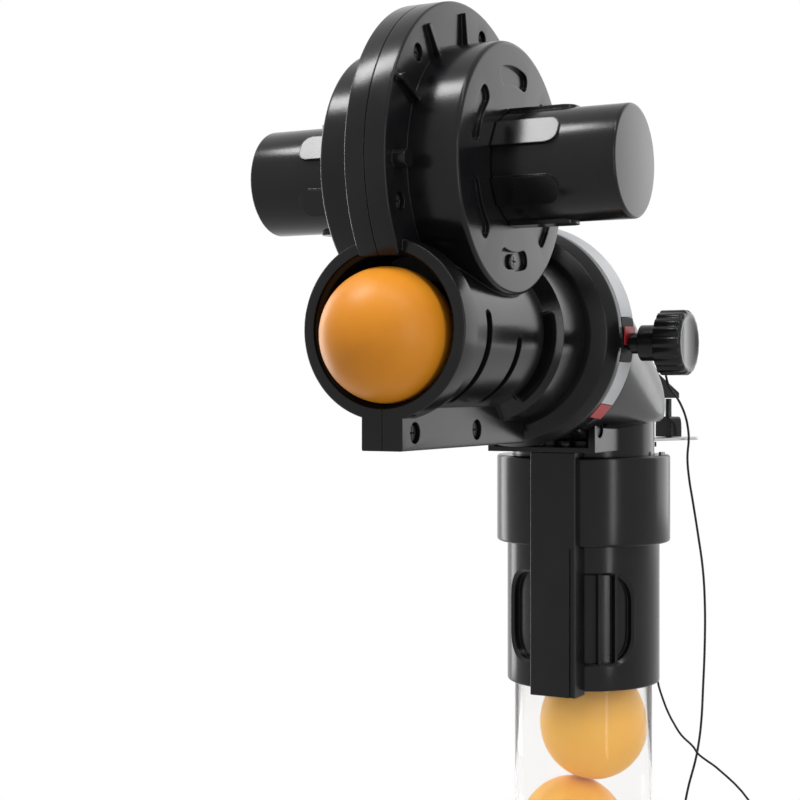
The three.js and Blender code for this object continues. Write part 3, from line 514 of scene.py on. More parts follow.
def finished(piece, name, material, body, sharpAngle=32):
    piece.name = name
    piece.data.name = name
    piece.data.materials.clear()
    piece.data.materials.append(materials[material])
    piece.data.shade_smooth()
    piece.data.set_sharp_from_angle(angle=math.radians(sharpAngle))
    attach(piece, body)
    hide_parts(re.sub("([A-Z0-9])", r"_\1", name).lower())
    return piece


# Leads: loose stretches as in the photograph, the rest in small coils on the ground

leads = {
    "a": {
        "diameter": 0.9, "body": "tilt", "length": 0.4654, "exit": (16.67, 33.59, 191.66),
        "coil": (36, 48.5), "startAngle": -90,
        "route": [
            (16.9, 33.4, 193), (18.6, 32.5, 193.4), (20.3, 32, 190.8), (20.9, 32.5, 187.4),
            (21.6, 33.9, 184), (23.6, 36.5, 180.2), (24.7, 39.3, 176.5), (25.5, 41.2, 172.7),
            (26, 42.4, 168.5), (26.2, 42.8, 164.7), (25.9, 42.1, 156.9), (26.5, 42.5, 148.6),
            (27.6, 43, 141.1), (29.5, 44.1, 127.3), (31.1, 45, 114.1), (31.8, 45.3, 100.8),
            (31.8, 45.3, 86.8), (31.2, 45, 68.7), (30.5, 44.6, 54.2), (29.5, 44.1, 45.6),
            (28.6, 43.6, 40.4), (25.9, 42.1, 28.6), (24.3, 41.3, 16), (25, 41, 5.8),
            (27.6, 40.9, 1.5),
        ],
    },
    "b": {
        "diameter": 0.8, "body": "mast", "length": 0.3475, "exit": (14.07, 26.46, 84),
        "coil": (77.4, -9), "startAngle": 180,
        "route": [
            (15.8, 28.4, 83.2), (18.6, 26.2, 79), (21.5, 21.4, 72.8), (23.9, 19.8, 67.6),
            (26.3, 18.8, 63), (28.9, 17.9, 59.2), (32.1, 16.8, 55.5), (37.2, 15.6, 51.8),
            (39.1, 14.4, 50), (43, 13.1, 48), (47.1, 11.9, 46.1), (60.5, 8.5, 36),
            (66.5, 6.8, 26), (69.6, 4.8, 14), (70.5, 1, 4.2), (70.5, -2.6, 1),
        ],
    },
}
coil = {"across": 11, "turns": 8, "gap": 0.45, "steps": 14, "tail": 7.5, "climbTurns": 0.5}
plug = {
    "end": 7, "half": 3, "high": 2.1, "necked": -2.1, "neckHalf": 1.5, "edge": 0.5,
    "holes": (-1.3, 1.3), "holeHalf": 0.6, "holeFrom": 4,
    "latchTo": 5, "latchHalf": 1, "latchFloor": 1.7,
}


# In by half the turns, then out again in a second layer on top
def coilPoints(lead):
    pitch = lead["diameter"] + coil["gap"]
    layer = coil["turns"] / 2
    outer = coil["across"] * lead["diameter"] / 2 + pitch * layer / 2
    start = math.radians(lead["startAngle"])
    points = []
    for i in range(coil["turns"] * coil["steps"] + 1):
        turns = i / coil["steps"]
        reach = outer - pitch * (turns if turns < layer else coil["turns"] - turns)
        climb = min(1, max(0, (turns - layer) / coil["climbTurns"] + 0.5))
        angle = start + 2 * math.pi * turns
        points.append(Vector((
            lead["coil"][0] + reach * math.cos(angle),
            lead["coil"][1] + reach * math.sin(angle),
            lead["diameter"] / 2 + pitch * climb,
        )))
    heading = Vector((-math.sin(start), math.cos(start), 0))
    points.insert(0, points[0] - heading * lead["diameter"])
    points.append(points[-1] + heading * lead["diameter"])
    points.append(points[-1] + heading * coil["tail"])
    return points, heading


# A two pole connector that looks along the lead's heading
def makePlug(letter, heading):
    centre = Vector(nodeCentre(f"lead_{letter}_plug"))
    across = Vector((-heading.y, heading.x, 0))

    def toPlug(a, b, height):
        return centre + heading * a + across * b + Vector((0, 0, height))

    def plugBlock(a0, a1, b0, b1, low, high):
        return prism([(a0, b0), (a1, b0), (a1, b1), (a0, b1)], toPlug, low, high)

    end, half, high = plug["end"], plug["half"], plug["high"]
    necked, neckHalf, hole = plug["necked"], plug["neckHalf"], plug["holeHalf"]
    body = prism(softened([
        (-end, -neckHalf), (necked, -neckHalf), (necked, -half), (end, -half),
        (end, half), (necked, half), (necked, neckHalf), (-end, neckHalf),
    ], (2, 3, 4, 5), plug["edge"], 3), toPlug, -high, high)
    latch = plugBlock(0, plug["latchTo"], -plug["latchHalf"], plug["latchHalf"],
                      plug["latchFloor"], high + over)
    holes = [plugBlock(plug["holeFrom"], end + over, b - hole, b + hole, -hole, hole)
             for b in plug["holes"]]
    return finished(cut(body, latch, *holes), f"lead{letter.upper()}Plug", "lead",
                    leads[letter]["body"])


def makeLead(letter):
    lead = leads[letter]
    turns, heading = coilPoints(lead)
    points = [Vector(point) for point in (lead["exit"], *lead["route"])] + turns
    data = bpy.data.curves.new(f"lead{letter.upper()}", "CURVE")
    data.dimensions = "3D"
    data.bevel_depth = lead["diameter"] / 2 * mm
    data.bevel_resolution = 4
    data.resolution_u = 4
    data.use_fill_caps = True
    line = data.splines.new("BEZIER")
    line.bezier_points.add(len(points) - 1)
    for knot, point in zip(line.bezier_points, points):
        knot.co = point * mm
        knot.handle_left_type = "AUTO"
        knot.handle_right_type = "AUTO"
    piece = addObject(f"lead{letter.upper()}", data)
    data.materials.append(materials["lead"])
    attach(piece, lead["body"])
    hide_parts(f"lead_{letter}", f"lead_{letter}_coil")
    connector = makePlug(letter, heading)


makeLead("a")
makeLead("b")
print("leads made")


# Balls: a smooth shell with the faint ridge of its seam

ball = {"radius": 20, "seamHeight": 0.03, "seamShare": 0.02, "around": 96, "rows": 64}


def makeBall(name, body, material):
    centre = Vector(nodeCentre(name))

    def build(shape):
        bmesh.ops.create_uvsphere(shape, u_segments=ball["around"], v_segments=ball["rows"],
                                  radius=ball["radius"])
        for vert in shape.verts:
            if abs(vert.co.z) < ball["seamShare"] * ball["radius"]:
                vert.co *= 1 - ball["seamHeight"] / ball["radius"]
            vert.co += centre

    finished(meshPiece(build), name, material, body)


# The two balls in the tube take the lighter copy of the orange, a painted highlight; the muzzle
# ball keeps the plain orange
makeBall("ball_low", "ball_1", "paintedLitBall")
makeBall("ball_high", "ball_2", "paintedLitBall")
makeBall("ball_muzzle", "ball_3", "ball")
print("balls made")


# Feed tube, cup and collar

mast = {
    "tubeRadius": 25.2, "tubeBore": 24.2, "tubeLength": 84.2, "tubeEdge": 0.2,
    "cupRadius": 27.97, "cupBottom": 76.5, "cupTop": 141, "cupBore": 24.3, "cupEdge": 0.8,
    "socket": 25.5, "socketTop": 84.5,
    "window": (-45.5, 61.2), "windowLip": 0.9, "windowDepth": 2.8, "windowLow": 86.2,
    "windowHigh": 117.6, "windowCorner": 10, "ribAngles": (34, 47), "rib": 1, "ribBack": 0.2,
    "ribPast": 0.4,
    "collarRadius": 31.81, "collarBottom": 127.8, "collarTop": 159.5, "collarEdge": 1.1,
    "collarBore": 28.27, "lipBore": 26.4, "lipLow": 150, "pinHole": 1.5, "pinFloor": 150.3,
}


def makeTube():
    wall = sweep(softened([
        (mast["tubeBore"], 0), (mast["tubeRadius"], 0),
        (mast["tubeRadius"], mast["tubeLength"]), (mast["tubeBore"], mast["tubeLength"]),
    ], (0, 1, 2, 3), mast["tubeEdge"], 2), toMast)
    finished(wall, "feedTube", "clear", "mast")


# The cup's front has a blind recess with a bevelled lip and two upright ribs
def makeCup():
    radius, low, high = mast["cupRadius"], mast["windowLow"], mast["windowHigh"]
    floor = radius - mast["windowDepth"]
    body = sweep(softened([
        (mast["socket"], mast["cupBottom"]), (radius, mast["cupBottom"]),
        (radius, mast["cupTop"]), (mast["cupBore"], mast["cupTop"]),
        (mast["cupBore"], mast["socketTop"]), (mast["socket"], mast["socketTop"]),
    ], (1,), mast["cupEdge"]), toMast, steps=180)

    def window(depth, flare):
        return bentPatch(toMast, radius, (radius - depth, radius + over),
                         [angle - 90 for angle in mast["window"]], (low, high),
                         (mast["windowCorner"],) * 2, flare)

    recess = join(window(mast["windowDepth"], 0),
                  window(mast["windowLip"], mast["windowLip"] + over))
    ribs = []
    for angle in mast["ribAngles"]:
        rib = block(floor - 1, radius - mast["ribBack"], -mast["rib"] / 2, mast["rib"] / 2,
                    low - mast["ribPast"], high + mast["ribPast"])
        rib.data.transform(Matrix.Rotation(math.radians(angle - 90), 4, "Z"))
        ribs.append(rib)
    finished(cut(body, cut(recess, *ribs)), "tubeCup", "black", "mast")


def makeCollar():
    ring = sweep(softened([
        (mast["collarBore"], mast["collarBottom"]), (mast["collarRadius"], mast["collarBottom"]),
        (mast["collarRadius"], mast["collarTop"]), (mast["lipBore"], mast["collarTop"]),
        (mast["lipBore"], mast["lipLow"]), (mast["collarBore"], mast["lipLow"]),
    ], (1, 2), mast["collarEdge"], 5), toMast, steps=180)
    pinX, pinY, _ = nodeCentre("collar_pin")
    hole = disc(mast["pinHole"], mast["pinFloor"], mast["collarTop"] + over, alongZ(pinX, pinY), 32)
    finished(cut(ring, hole), "swivelCollar", "black", "mast")


makeTube()
makeCup()
makeCollar()
print("tube, cup and collar made")


# Turning neck: pipe with flange, shelf, ears and rear tongue

neck = {
    "radius": 26.1, "bore": 22.5, "top": 178.5, "edge": 0.5, "funnelTop": 148.6,
    "flangeBore": 24.3, "flangeRadius": 27.97, "flangeLow": 145, "flangeTop": 149.7,
    "shelfLow": 161.6, "shelfTop": 163.4, "halfWidth": 20.3, "front": 39.2, "corner": 2.2,
    "earThick": 2.4, "earBack": 15, "earRound": 4.6, "tiltY": -34.6, "tiltZ": 169.8,
    "pinHole": 3.1, "pinHalf": 23, "tongueAngle": 67, "tongueWidth": 12, "tongueReach": 33,
    "screwX": (-2.45, 7.55), "screwY": -33.555, "screwHole": 1.1,
}
tongueTurn = Matrix.Rotation(math.radians(neck["tongueAngle"]), 4, "Z")
toTilt = alongX(neck["tiltY"], neck["tiltZ"])


def tiltBore():
    return disc(neck["pinHole"], -neck["pinHalf"], neck["pinHalf"], toTilt, 48)


# Bores for the two screws that hold the arm to the shelf
def screwHoles(low, high):
    return [disc(neck["screwHole"], low, high, alongZ(x, neck["screwY"]), 24)
            for x in neck["screwX"]]


def makeNeck():
    half, front, back = neck["halfWidth"], neck["front"], neck["earBack"]
    low, top, wide = neck["shelfLow"], neck["shelfTop"], neck["tongueWidth"] / 2
    pipe = sweep(softened([
        (neck["flangeBore"], neck["flangeLow"]), (neck["flangeRadius"], neck["flangeLow"]),
        (neck["flangeRadius"], neck["flangeTop"]), (neck["radius"], neck["flangeTop"]),
        (neck["radius"], neck["top"]), (neck["bore"], neck["top"]),
        (neck["bore"], neck["funnelTop"]),
    ], (4, 5), neck["edge"]), toMast, steps=160)
    outline = softened([(-half, -front), (half, -front), (half, 0), (-half, 0)], (0, 1),
                       neck["corner"], 6)
    shelf = prism(outline, fromAbove, low, top)
    tongue = block(0, neck["tongueReach"], -wide, wide, low, top)
    tongue.data.transform(tongueTurn)
    nose = [(neck["tiltY"] - neck["earRound"] * math.cos(t),
             neck["tiltZ"] + neck["earRound"] * math.sin(t))
            for t in [math.radians(6 * i) for i in range(16)]]
    side = [(-back, low), (-front, low), *nose, (-back, neck["tiltZ"] + neck["earRound"])]
    ears = [prism(side, fromSide, inner, outer) for inner, outer in (
        (half - neck["earThick"], half), (-half, neck["earThick"] - half))]
    body = join(pipe, shelf, tongue, *ears)
    bore = disc(neck["bore"], neck["flangeLow"] + 1, neck["top"] + over, toMast, 160)
    body = cut(body, bore, tiltBore(), *screwHoles(low - over, top + over))
    finished(body, "swivelNeck", "black", "swivel")


# Swing arm, hollow at the back, bored for collar and cup

arm = {
    "left": -6, "right": 11.1, "front": 35, "back": 26, "plate": 2.5, "bottom": 75.6, "top": 161.3,
    "wall": 2, "groove": 0.8, "grooveWidth": 1.4, "grooveTop": 127.8, "edge": 0.7,
    "overCup": 28.27, "overCollar": 32.11, "collarLow": 127.5, "collarHigh": 159.8,
    "hollowTop": 125.8, "screwFloor": 153.3,
}


def makeArm():
    left, right, front = arm["left"], arm["right"], -arm["front"]
    bar = prism(softened([
        (left, front), (right, front), (right, -arm["back"]), (left, -arm["back"]),
    ], (0, 1), arm["edge"], 4), fromAbove, arm["bottom"], arm["top"])
    cutters = [
        disc(arm["overCollar"], arm["collarLow"], arm["collarHigh"], toMast, 180),
        disc(arm["overCup"], arm["bottom"] - over, arm["top"] + over, toMast, 180),
        block(left + arm["wall"], right - arm["wall"], front + arm["plate"], 0,
              arm["bottom"] + arm["wall"], arm["hollowTop"]),
        block(right - arm["groove"] - arm["grooveWidth"], right - arm["groove"],
              front - over, front + arm["groove"], arm["bottom"] - over, arm["grooveTop"]),
    ]
    bar = cut(bar, *cutters, *screwHoles(arm["screwFloor"], arm["top"] + over))
    finished(bar, "sweepArm", "black", "swivel")


makeNeck()
makeArm()
print("neck and arm made")


# Sizes of the lock knob and the dial band, which the elbow is bored for

knob = {
    "y": -53, "z": 198.9, "head": 10.75, "from": 49.5, "to": 58.9, "flutes": 18,
    "fluteDepth": 0.5, "fluteShape": 2.2, "round": 1.6, "dish": 0.5, "dishSlope": 0.02,
    "rim": 2.4, "dishRim": 3.4, "backEdge": ((0, 0.5), (0.18, 0.15), (0.5, 0)),
    "neck": 5.95, "neckFrom": 42.7, "shoulder": 3.5, "shoulderFrom": 39.2,
    "stud": 1.9, "studFrom": 34.01, "studBore": 2.2, "around": 288, "roundSteps": 8,
}
band = {
    "inner": 36.6, "thin": 0.7, "back": -49.8, "outer": 38.47, "low": -37, "high": 217,
    "patchLow": -13, "patchHigh": 9, "markAngle": 4.5, "markLift": 0.4, "split": 0.44,
    "stepAngle": 1.5,
}
toKnob = alongX(knob["y"], knob["z"])


def studBore():
    return disc(knob["studBore"], 0, knob["from"], toKnob, 32)


# Elbow shells

elbow = {
    "domeRadius": 30.2, "domeInner": 27.9, "domeZ": 177, "domeLow": 171.5, "cavityLow": 174.7,
    "mouthY": -57.2, "ringY": -48, "ringRadius": 36.3, "ringEdge": 0.4,
    "funnel": 23, "socketFloor": -49.5, "socket": 33.8,
    "webHalf": 17.3, "webRound": 4.4, "seam": 0.15,
    "earRoom": (-41.2, -13), "earHeights": (161.6, 176.4), "earOuter": 20.9,
    "wedgeIn": 25.9, "wedgeLow": 180, "wedgeHigh": 193.3, "wedgeTip": 182, "wedgeReach": 48,
    "wedgeWidth": 8, "wedgeEdge": 0.5,
    "blendGrid": 0.0012, "blendRounds": 40,
}


def domePoints(radius, low, rows=24, columns=96):
    points = []
    floor = math.asin((low - elbow["domeZ"]) / radius)
    for row in range(rows + 1):
        lift = floor + (math.pi / 2 - floor) * row / rows
        points += [toMast(radius * math.cos(lift), 2 * math.pi * i / columns,
                          elbow["domeZ"] + radius * math.sin(lift)) for i in range(columns)]
    return points


def circlePoints(radius, place, offset, steps=fine):
    return [place(radius, 2 * math.pi * i / steps, offset) for i in range(steps)]


# Softens the blend from dome to mouth
def smoothed(piece):
    grid = piece.modifiers.new("Grid", "REMESH")
    grid.mode = "VOXEL"
    grid.voxel_size = elbow["blendGrid"]
    relax = piece.modifiers.new("Relax", "SMOOTH")
    relax.factor = 0.5
    relax.iterations = elbow["blendRounds"]
    return settle(piece)


def makeElbow():
    dome, ringY, mouth = elbow["domeZ"], elbow["ringY"], elbow["mouthY"]
    inner, half = elbow["domeInner"], elbow["webHalf"]
    skin = smoothed(hull(domePoints(elbow["domeRadius"], elbow["domeLow"])
                         + circlePoints(elbow["ringRadius"] - gap, toBarrel, ringY)))
    ring = sweep(softened([
        (0, mouth), (elbow["ringRadius"], mouth), (elbow["ringRadius"], ringY + gap),
        (0, ringY + gap),
    ], (1,), elbow["ringEdge"], 3), toBarrel, steps=160)
    web = []
    for x in (-half, half):
        web += circlePoints(elbow["webRound"], toTilt, x, 48)
        web += [Vector((x, ringY, neck["tiltZ"])), Vector((x, neck["tiltY"], dome))]
    wedge = prism(softened([
        (elbow["wedgeIn"], elbow["wedgeLow"]), (elbow["wedgeReach"], elbow["wedgeLow"]),
        (elbow["wedgeReach"], elbow["wedgeTip"]), (elbow["domeRadius"], elbow["wedgeHigh"]),
        (elbow["wedgeIn"], elbow["wedgeHigh"]),
    ], (2,), elbow["wedgeEdge"], 3), fromFront, -elbow["wedgeWidth"] / 2, elbow["wedgeWidth"] / 2)
    wedge.data.transform(tongueTurn)
    body = join(skin, ring, hull(web), wedge)
    cavity = hull(domePoints(inner, elbow["cavityLow"])
                  + circlePoints(elbow["funnel"], toBarrel, elbow["socketFloor"]))
    ears = [block(low, high, *elbow["earRoom"], *elbow["earHeights"])
            for low, high in ((half, elbow["earOuter"]), (-elbow["earOuter"], -half))]
    body = cut(body, cavity, disc(inner, neck["shelfLow"], dome, toMast, 160),
               disc(elbow["socket"], mouth - over, elbow["socketFloor"], toBarrel),
               *ears, tiltBore(), studBore())
    left = halfOf(copied(body), elbow["seam"], -1)
    finished(halfOf(body, elbow["seam"]), "elbowRight", "black", "tilt")
    finished(left, "elbowLeft", "black", "tilt")


# Plate on the tongue, foot on the plate, and the jack between foot and wedge

jack = {
    "plateLow": 163.7, "plateTop": 164.7, "plateReach": 60.6, "reach": 46.3, "radius": 1.2,
    "hole": 1.5, "footBase": 8, "footTop": 5, "footDepth": 6, "footHeight": 7.8,
    "footShoulder": 0.45, "bendSteps": 12,
}


def makePlateAndFoot():
    wide = neck["tongueWidth"] / 2
    end, inner = jack["plateReach"] - wide, neck["radius"] + gap
    tip = [(end + wide * math.cos(t), wide * math.sin(t))
           for t in [math.radians(-90 + 5 * i) for i in range(37)]]
    plate = prism([(inner, -wide), *tip, (inner, wide)], fromAbove, jack["plateLow"],
                  jack["plateTop"])
    half, top, height = jack["footBase"] / 2, jack["footTop"] / 2, jack["footHeight"]
    bend = []
    for i in range(jack["bendSteps"] + 1):
        t = i / jack["bendSteps"]
        bend.append((half * (1 - t * t) + top * t * t,
                     height * (jack["footShoulder"] * (1 - t) ** 2 + 2 * t * (1 - t) + t * t)))
    low = jack["plateTop"] + gap
    side = [(x, low + z) for x, z in [(-half, 0), (half, 0), *bend,
                                      *[(-x, z) for x, z in reversed(bend)]]]
    foot = prism(side, fromSide, jack["reach"] - jack["footDepth"] / 2,
                 jack["reach"] + jack["footDepth"] / 2)
    atJack = alongZ(jack["reach"], 0)
    column = disc(jack["radius"], jack["plateLow"], elbow["wedgeLow"] - gap, atJack, 48)
    for piece in (plate, foot):
        cut(piece, disc(jack["hole"], jack["plateLow"] - over, low + height + over, atJack, 40))
    for piece, name, material, body in (
        (column, "tiltJack", "blackSteel", "jack"), (plate, "tiltPlate", "plate", "swivel"),
        (foot, "tiltFoot", "black", "swivel"),
    ):
        piece.data.transform(tongueTurn)
        finished(piece, name, material, body)


makeElbow()
makePlateAndFoot()
print("elbow, plate and foot made")


# Dial band in two lengths, lock patch and marks

def bandArc(start, end, lift=0.0, inset=0.0, clear=None):
    front, back = elbow["mouthY"] + inset, band["back"] - inset
    slope = (band["outer"] - band["inner"] - band["thin"]) / (band["back"] - elbow["mouthY"])

    def skin(y):
        return band["inner"] + band["thin"] + slope * (y - elbow["mouthY"])

    def floor(y):
        return band["inner"] if clear is None else skin(y) + clear

    return sweep([
        (floor(front), front), (floor(back), back), (skin(back) + lift, back),
        (skin(front) + lift, front),
    ], toBarrel, start, end, max(4, round((end - start) / band["stepAngle"])))


def makeBand():
    split, mark, low = band["split"], band["markAngle"], band["low"]
    patchLow, patchHigh = band["patchLow"], band["patchHigh"]
    for piece, name, material in (
        (bandArc(patchHigh + split, band["high"]), "dialBand", "pale"),
        (bandArc(low, patchLow - split), "dialBandLow", "pale"),
        (cut(bandArc(patchLow, patchHigh), studBore()), "lockPatch", "trim"),
        (cut(bandArc(-mark, mark, gap + band["markLift"], gap, gap), studBore()),
         "indexMarkLock", "red"),
        (bandArc(low - split - 2 * mark, low - split), "indexMarkLow", "red"),
    ):
        finished(piece, name, material, "tilt")


makeBand()
print("band made")


# Lock knob with a fluted head

def makeKnob():
    around, rim, edge, face = knob["around"], knob["head"], knob["round"], knob["to"]

    def head(shape):
        stations = [(knob["from"] + x, inset) for x, inset in knob["backEdge"]]
        stations += [(face - e, rim - r) for r, e in rounded(rim, edge, knob["roundSteps"])]
        rings = []
        for x, inset in stations:
            ring = []
            for i in range(around):
                angle = 2 * math.pi * i / around
                wave = 0.5 - 0.5 * math.cos(angle * knob["flutes"])
                depth = knob["fluteDepth"] * wave ** knob["fluteShape"] * max(0, 1 - inset / edge)
                ring.append(shape.verts.new(toKnob(rim - inset - depth, angle, x)))
            rings.append(ring)
        for inset, depth in ((knob["rim"], knob["dishSlope"]), (knob["dishRim"], knob["dish"])):
            rings.append([shape.verts.new(point)
                          for point in circlePoints(rim - inset, toKnob, face - depth, around)])
        skinRings(shape, rings)

    stemEnd = knob["from"] + 1
    stem = sweep([
        (0, knob["studFrom"]), (knob["stud"], knob["studFrom"]),
        (knob["stud"], knob["shoulderFrom"]), (knob["shoulder"], knob["shoulderFrom"]),
        (knob["shoulder"], knob["neckFrom"]), (knob["neck"], knob["neckFrom"]),
        (knob["neck"], stemEnd), (0, stemEnd),
    ], toKnob)
    finished(join(meshPiece(head), stem), "lockKnob", "black", "knob")


makeKnob()
print("knob made")


# Turning ring between barrel and elbow

rollRing = {
    "profile": [(25.4, -68), (30.5, -68), (34.9, -65), (37.26, -60.3), (37.26, -57.5),
                (33.5, -57.5), (33.5, -49.8), (22, -49.8), (22, -58.1), (25.4, -58.1)],
    "softCorners": (1, 2, 3, 4), "edge": 0.35,
}
ring = sweep(softened(rollRing["profile"], rollRing["softCorners"], rollRing["edge"], 3),
             toBarrel, steps=180)
finished(ring, "rollRing", "ring", "head")
print("turning ring made")


# Wheel housing: two mirrored mouldings of rim, drum, half barrel and half foot

housing = {
    "rim": 51.94, "rimHalf": 6.72, "rimEdge": 0.7, "drum": 38.59, "drumHalf": 23.1,
    "drumEdge": 1.4, "chamber": 36.39, "chamberHalf": 20.5, "axleHole": 5.3, "seam": 0.15,
    "muzzle": -153.3, "muzzleRadius": 26.71, "muzzleRing": -144.3, "barrel": 24, "bore": 22,
    "step": 1.2, "flare": -90.3, "rear": 28.6, "rearFrom": -86.1, "end": -68.3, "tail": 25.1,
    "tailEnd": -58.4, "ringRoom": 37.56, "footLow": 165.9, "footInto": 18, "footEdge": 0.5,
    "slotWidth": 3.6, "slots": ((-131, -66, 14.5), (-109.4, -66, -3), (-89.6, -58, 16.5)),
    "slotDepth": (20, 30.6),
    "pocketInner": 25.3, "pocketOuter": 31.2, "pocketHalf": 19.5, "pocketDepth": 1.3,
    "pocketCorner": 2.6, "pockets": (6, 60),  # count, angle apart
    "gussets": (5, 30), "gussetFrom": 27, "gussetReach": 48.6, "gussetRise": 2,
    "gussetFoot": 1.4, "gussetThick": 1.3, "gussetRoot": 2,
    "bosses": ((2.7, 4, 45, -1.5), (1.2, 1.9, 49.2, 27)),  # radius, rise, reach, angle
    "screwReach": 44.6, "screwAngles": (-17, 45, 105, 165), "screwHead": 2.4, "screwShank": 1.3,
    "sink": 3.2, "shankRight": -4, "shankLeft": (-2, 3.7),
    "footHoles": (-145.5, -104.1), "footHoleZ": 171.1, "footHole": 3.15,
    "drumScrewReach": 28.25, "drumScrewHole": 0.95, "drumScrewFrom": 20.7,
}


def rod(radius, x0, x1, y, z, steps=40):
    return disc(radius, x0, x1, alongX(y, z), steps)


# A disc on the wheel's axis with its outer edge rounded
def edgedDisc(radius, low, high, edge, edgeSteps, steps):
    return sweep([(0, low), (radius, low)] + [
        (r, high - e) for r, e in rounded(radius, edge, edgeSteps)
    ] + [(0, high)], toWheel, steps=steps)


def wheelPoint(radius, angle):
    turn = math.radians(angle)
    return wheelY - radius * math.cos(turn), wheelZ + radius * math.sin(turn)


def makeShell():
    half, drum, chamber = housing["rimHalf"], housing["drum"], housing["chamber"]
    muzzle, outer, ringEnd = housing["muzzle"], housing["muzzleRadius"], housing["muzzleRing"]
    footTop = barrelZ - housing["footInto"]
    tail, end, tailEnd = housing["tail"], housing["end"], housing["tailEnd"]
    front = [(r, muzzle + e) for r, e in reversed(rounded(outer, housing["rimEdge"], 4))]
    barrel = sweep([
        (0, muzzle), *front, (outer, ringEnd - gap), (outer - gap, ringEnd),
        (housing["barrel"], ringEnd + gap), (housing["barrel"], housing["flare"]),
        (housing["rear"], housing["rearFrom"]), (housing["rear"], end), (tail, end),
        (tail, tailEnd), (0, tailEnd),
    ], toBarrel, steps=160)
    foot = prism(softened([
        (0, housing["footLow"]), (half, housing["footLow"]), (half, footTop), (0, footTop),
    ], (1,), housing["footEdge"], 3), fromFront, muzzle, end)
    body = join(edgedDisc(drum, 0, housing["drumHalf"], housing["drumEdge"], 8, 160),
                edgedDisc(housing["rim"], 0, half, housing["rimEdge"], 4, 180),
                barrel, foot)

    root, rise = half - housing["gussetRoot"], half + housing["gussetRise"]
    turn, thick = math.radians(housing["gussetFrom"]), housing["gussetThick"]
    aside = Vector((0, math.sin(turn), math.cos(turn)))
    gusset = prism([
        (chamber, root), (housing["gussetReach"], root),
        (housing["gussetReach"], half + housing["gussetFoot"]), (drum, rise), (chamber, rise),
    ], lambda a, b, h: toWheel(a, turn, b) + aside * h, -thick / 2, thick / 2)
    return join(body, aroundWheel(gusset, *housing["gussets"]))


def hollowed(body):
    drumHalf, tail, end = housing["drumHalf"], housing["tail"], housing["end"]
    muzzle, step, bore = housing["muzzle"], housing["step"], housing["bore"]
    inner, outer = housing["pocketInner"], housing["pocketOuter"]
    room, boreEnd = housing["ringRoom"], housing["tailEnd"] + over
    clear = sweep([(tail, end), (room, end), (room, 0), (tail, 0)], toBarrel, steps=160)
    ballWay = sweep([
        (0, muzzle - over), (bore + step, muzzle - over), (bore + step, muzzle + step),
        (bore, muzzle + 2 * step), (bore, boreEnd), (0, boreEnd),
    ], toBarrel, steps=160)
    chamber = disc(housing["chamber"], -housing["chamberHalf"], housing["chamberHalf"], toWheel)
    axle = disc(housing["axleHole"], 0, drumHalf + over, toWheel, 48)
    body = cut(body, clear, ballWay, chamber, axle)

    pocket = bentPatch(
        lambda x, angle, radius: toWheel(radius, angle, x), (inner + outer) / 2,
        (drumHalf - housing["pocketDepth"], drumHalf + over),
        (90 - housing["pocketHalf"], 90 + housing["pocketHalf"]), (inner, outer),
        (housing["pocketCorner"],) * 2)
    body = cut(body, aroundWheel(pocket, *housing["pockets"]))
    half = housing["slotWidth"] / 2
    for y, start, stop in housing["slots"]:
        body = cut(body, bentPatch(toBarrel, housing["barrel"], housing["slotDepth"],
                                   (start, stop), (y - half, y + half), (half - 0.01,) * 2))
    return cut(body, rod(housing["drumScrewHole"], housing["drumScrewFrom"], drumHalf + over,
                         *wheelPoint(housing["drumScrewReach"], -90), 24))


# Both sides have the screw holes; the right one also the bosses and the heads' seats
def makeHousing():
    left = hollowed(makeShell())
    half, hole = housing["rimHalf"], housing["screwShank"] + gap
    floor = half - housing["sink"]
    places = [wheelPoint(housing["screwReach"], angle) for angle in housing["screwAngles"]]
    feet = [(y, housing["footHoleZ"]) for y in housing["footHoles"]]
    right = join(copied(left), *[rod(radius, 3, half + rise, *wheelPoint(reach, angle), 56)
                                 for radius, rise, reach, angle in housing["bosses"]])
    for spots, head in ((places, housing["screwHead"] + gap), (feet, housing["footHole"])):
        for y, z in spots:
            right = cut(right, rod(head, floor, half + over, y, z),
                        rod(hole, housing["shankRight"], floor + 1, y, z, 24))
    for y, z in places + feet:
        left = cut(left, rod(hole, *housing["shankLeft"], y, z, 24))
    left = halfOf(left, housing["seam"])
    finished(halfOf(right, housing["seam"]), "housingRight", "black", "head", sharpAngle=28)
    finished(mirrored(left), "housingLeft", "black", "head", sharpAngle=28)
    bpy.data.objects.remove(left)


makeHousing()
print("housing made")


# Motor caps with six raised pads each, and the tyre that turns between them

drive = {
    "cap": 17, "capFrom": 23.4, "capEnd": 62.1, "capWall": 2, "capEdge": 1,
    "pad": 17.7, "padHalf": 14.6, "padEnd": 44, "padCorner": 3.6, "pads": (6, 60),
    "motor": 13.9, "motorLength": 32, "motorFrom": 21,
    "tyre": 33.5, "tyreInner": 24.3, "tyreHalf": 11, "tyreHollow": 0.9,
}


def makeCaps():
    radius, start, padReach = drive["cap"], drive["capFrom"], drive["pad"]
    cap = edgedDisc(radius, start, drive["capEnd"], drive["capEdge"], 6, 144)

    def flatOnCap(depth, angle, x):
        aside = (angle - math.pi / 2) * padReach
        return toWheel(math.hypot(depth, aside), math.pi / 2 + math.atan2(aside, depth), x)

    pad = bentPatch(flatOnCap, padReach, (radius - drive["capWall"], padReach),
                    (90 - drive["padHalf"], 90 + drive["padHalf"]), (start, drive["padEnd"]),
                    (0, drive["padCorner"]))
    hollow = disc(drive["motor"] + gap, drive["motorFrom"],
                  start + drive["motorLength"] + 2 * gap, toWheel, 96)
    body = cut(join(cap, aroundWheel(pad, *drive["pads"])), hollow)
    finished(mirrored(body), "motorCapLeft", "cap", "head")
    finished(body, "motorCapRight", "cap", "head")


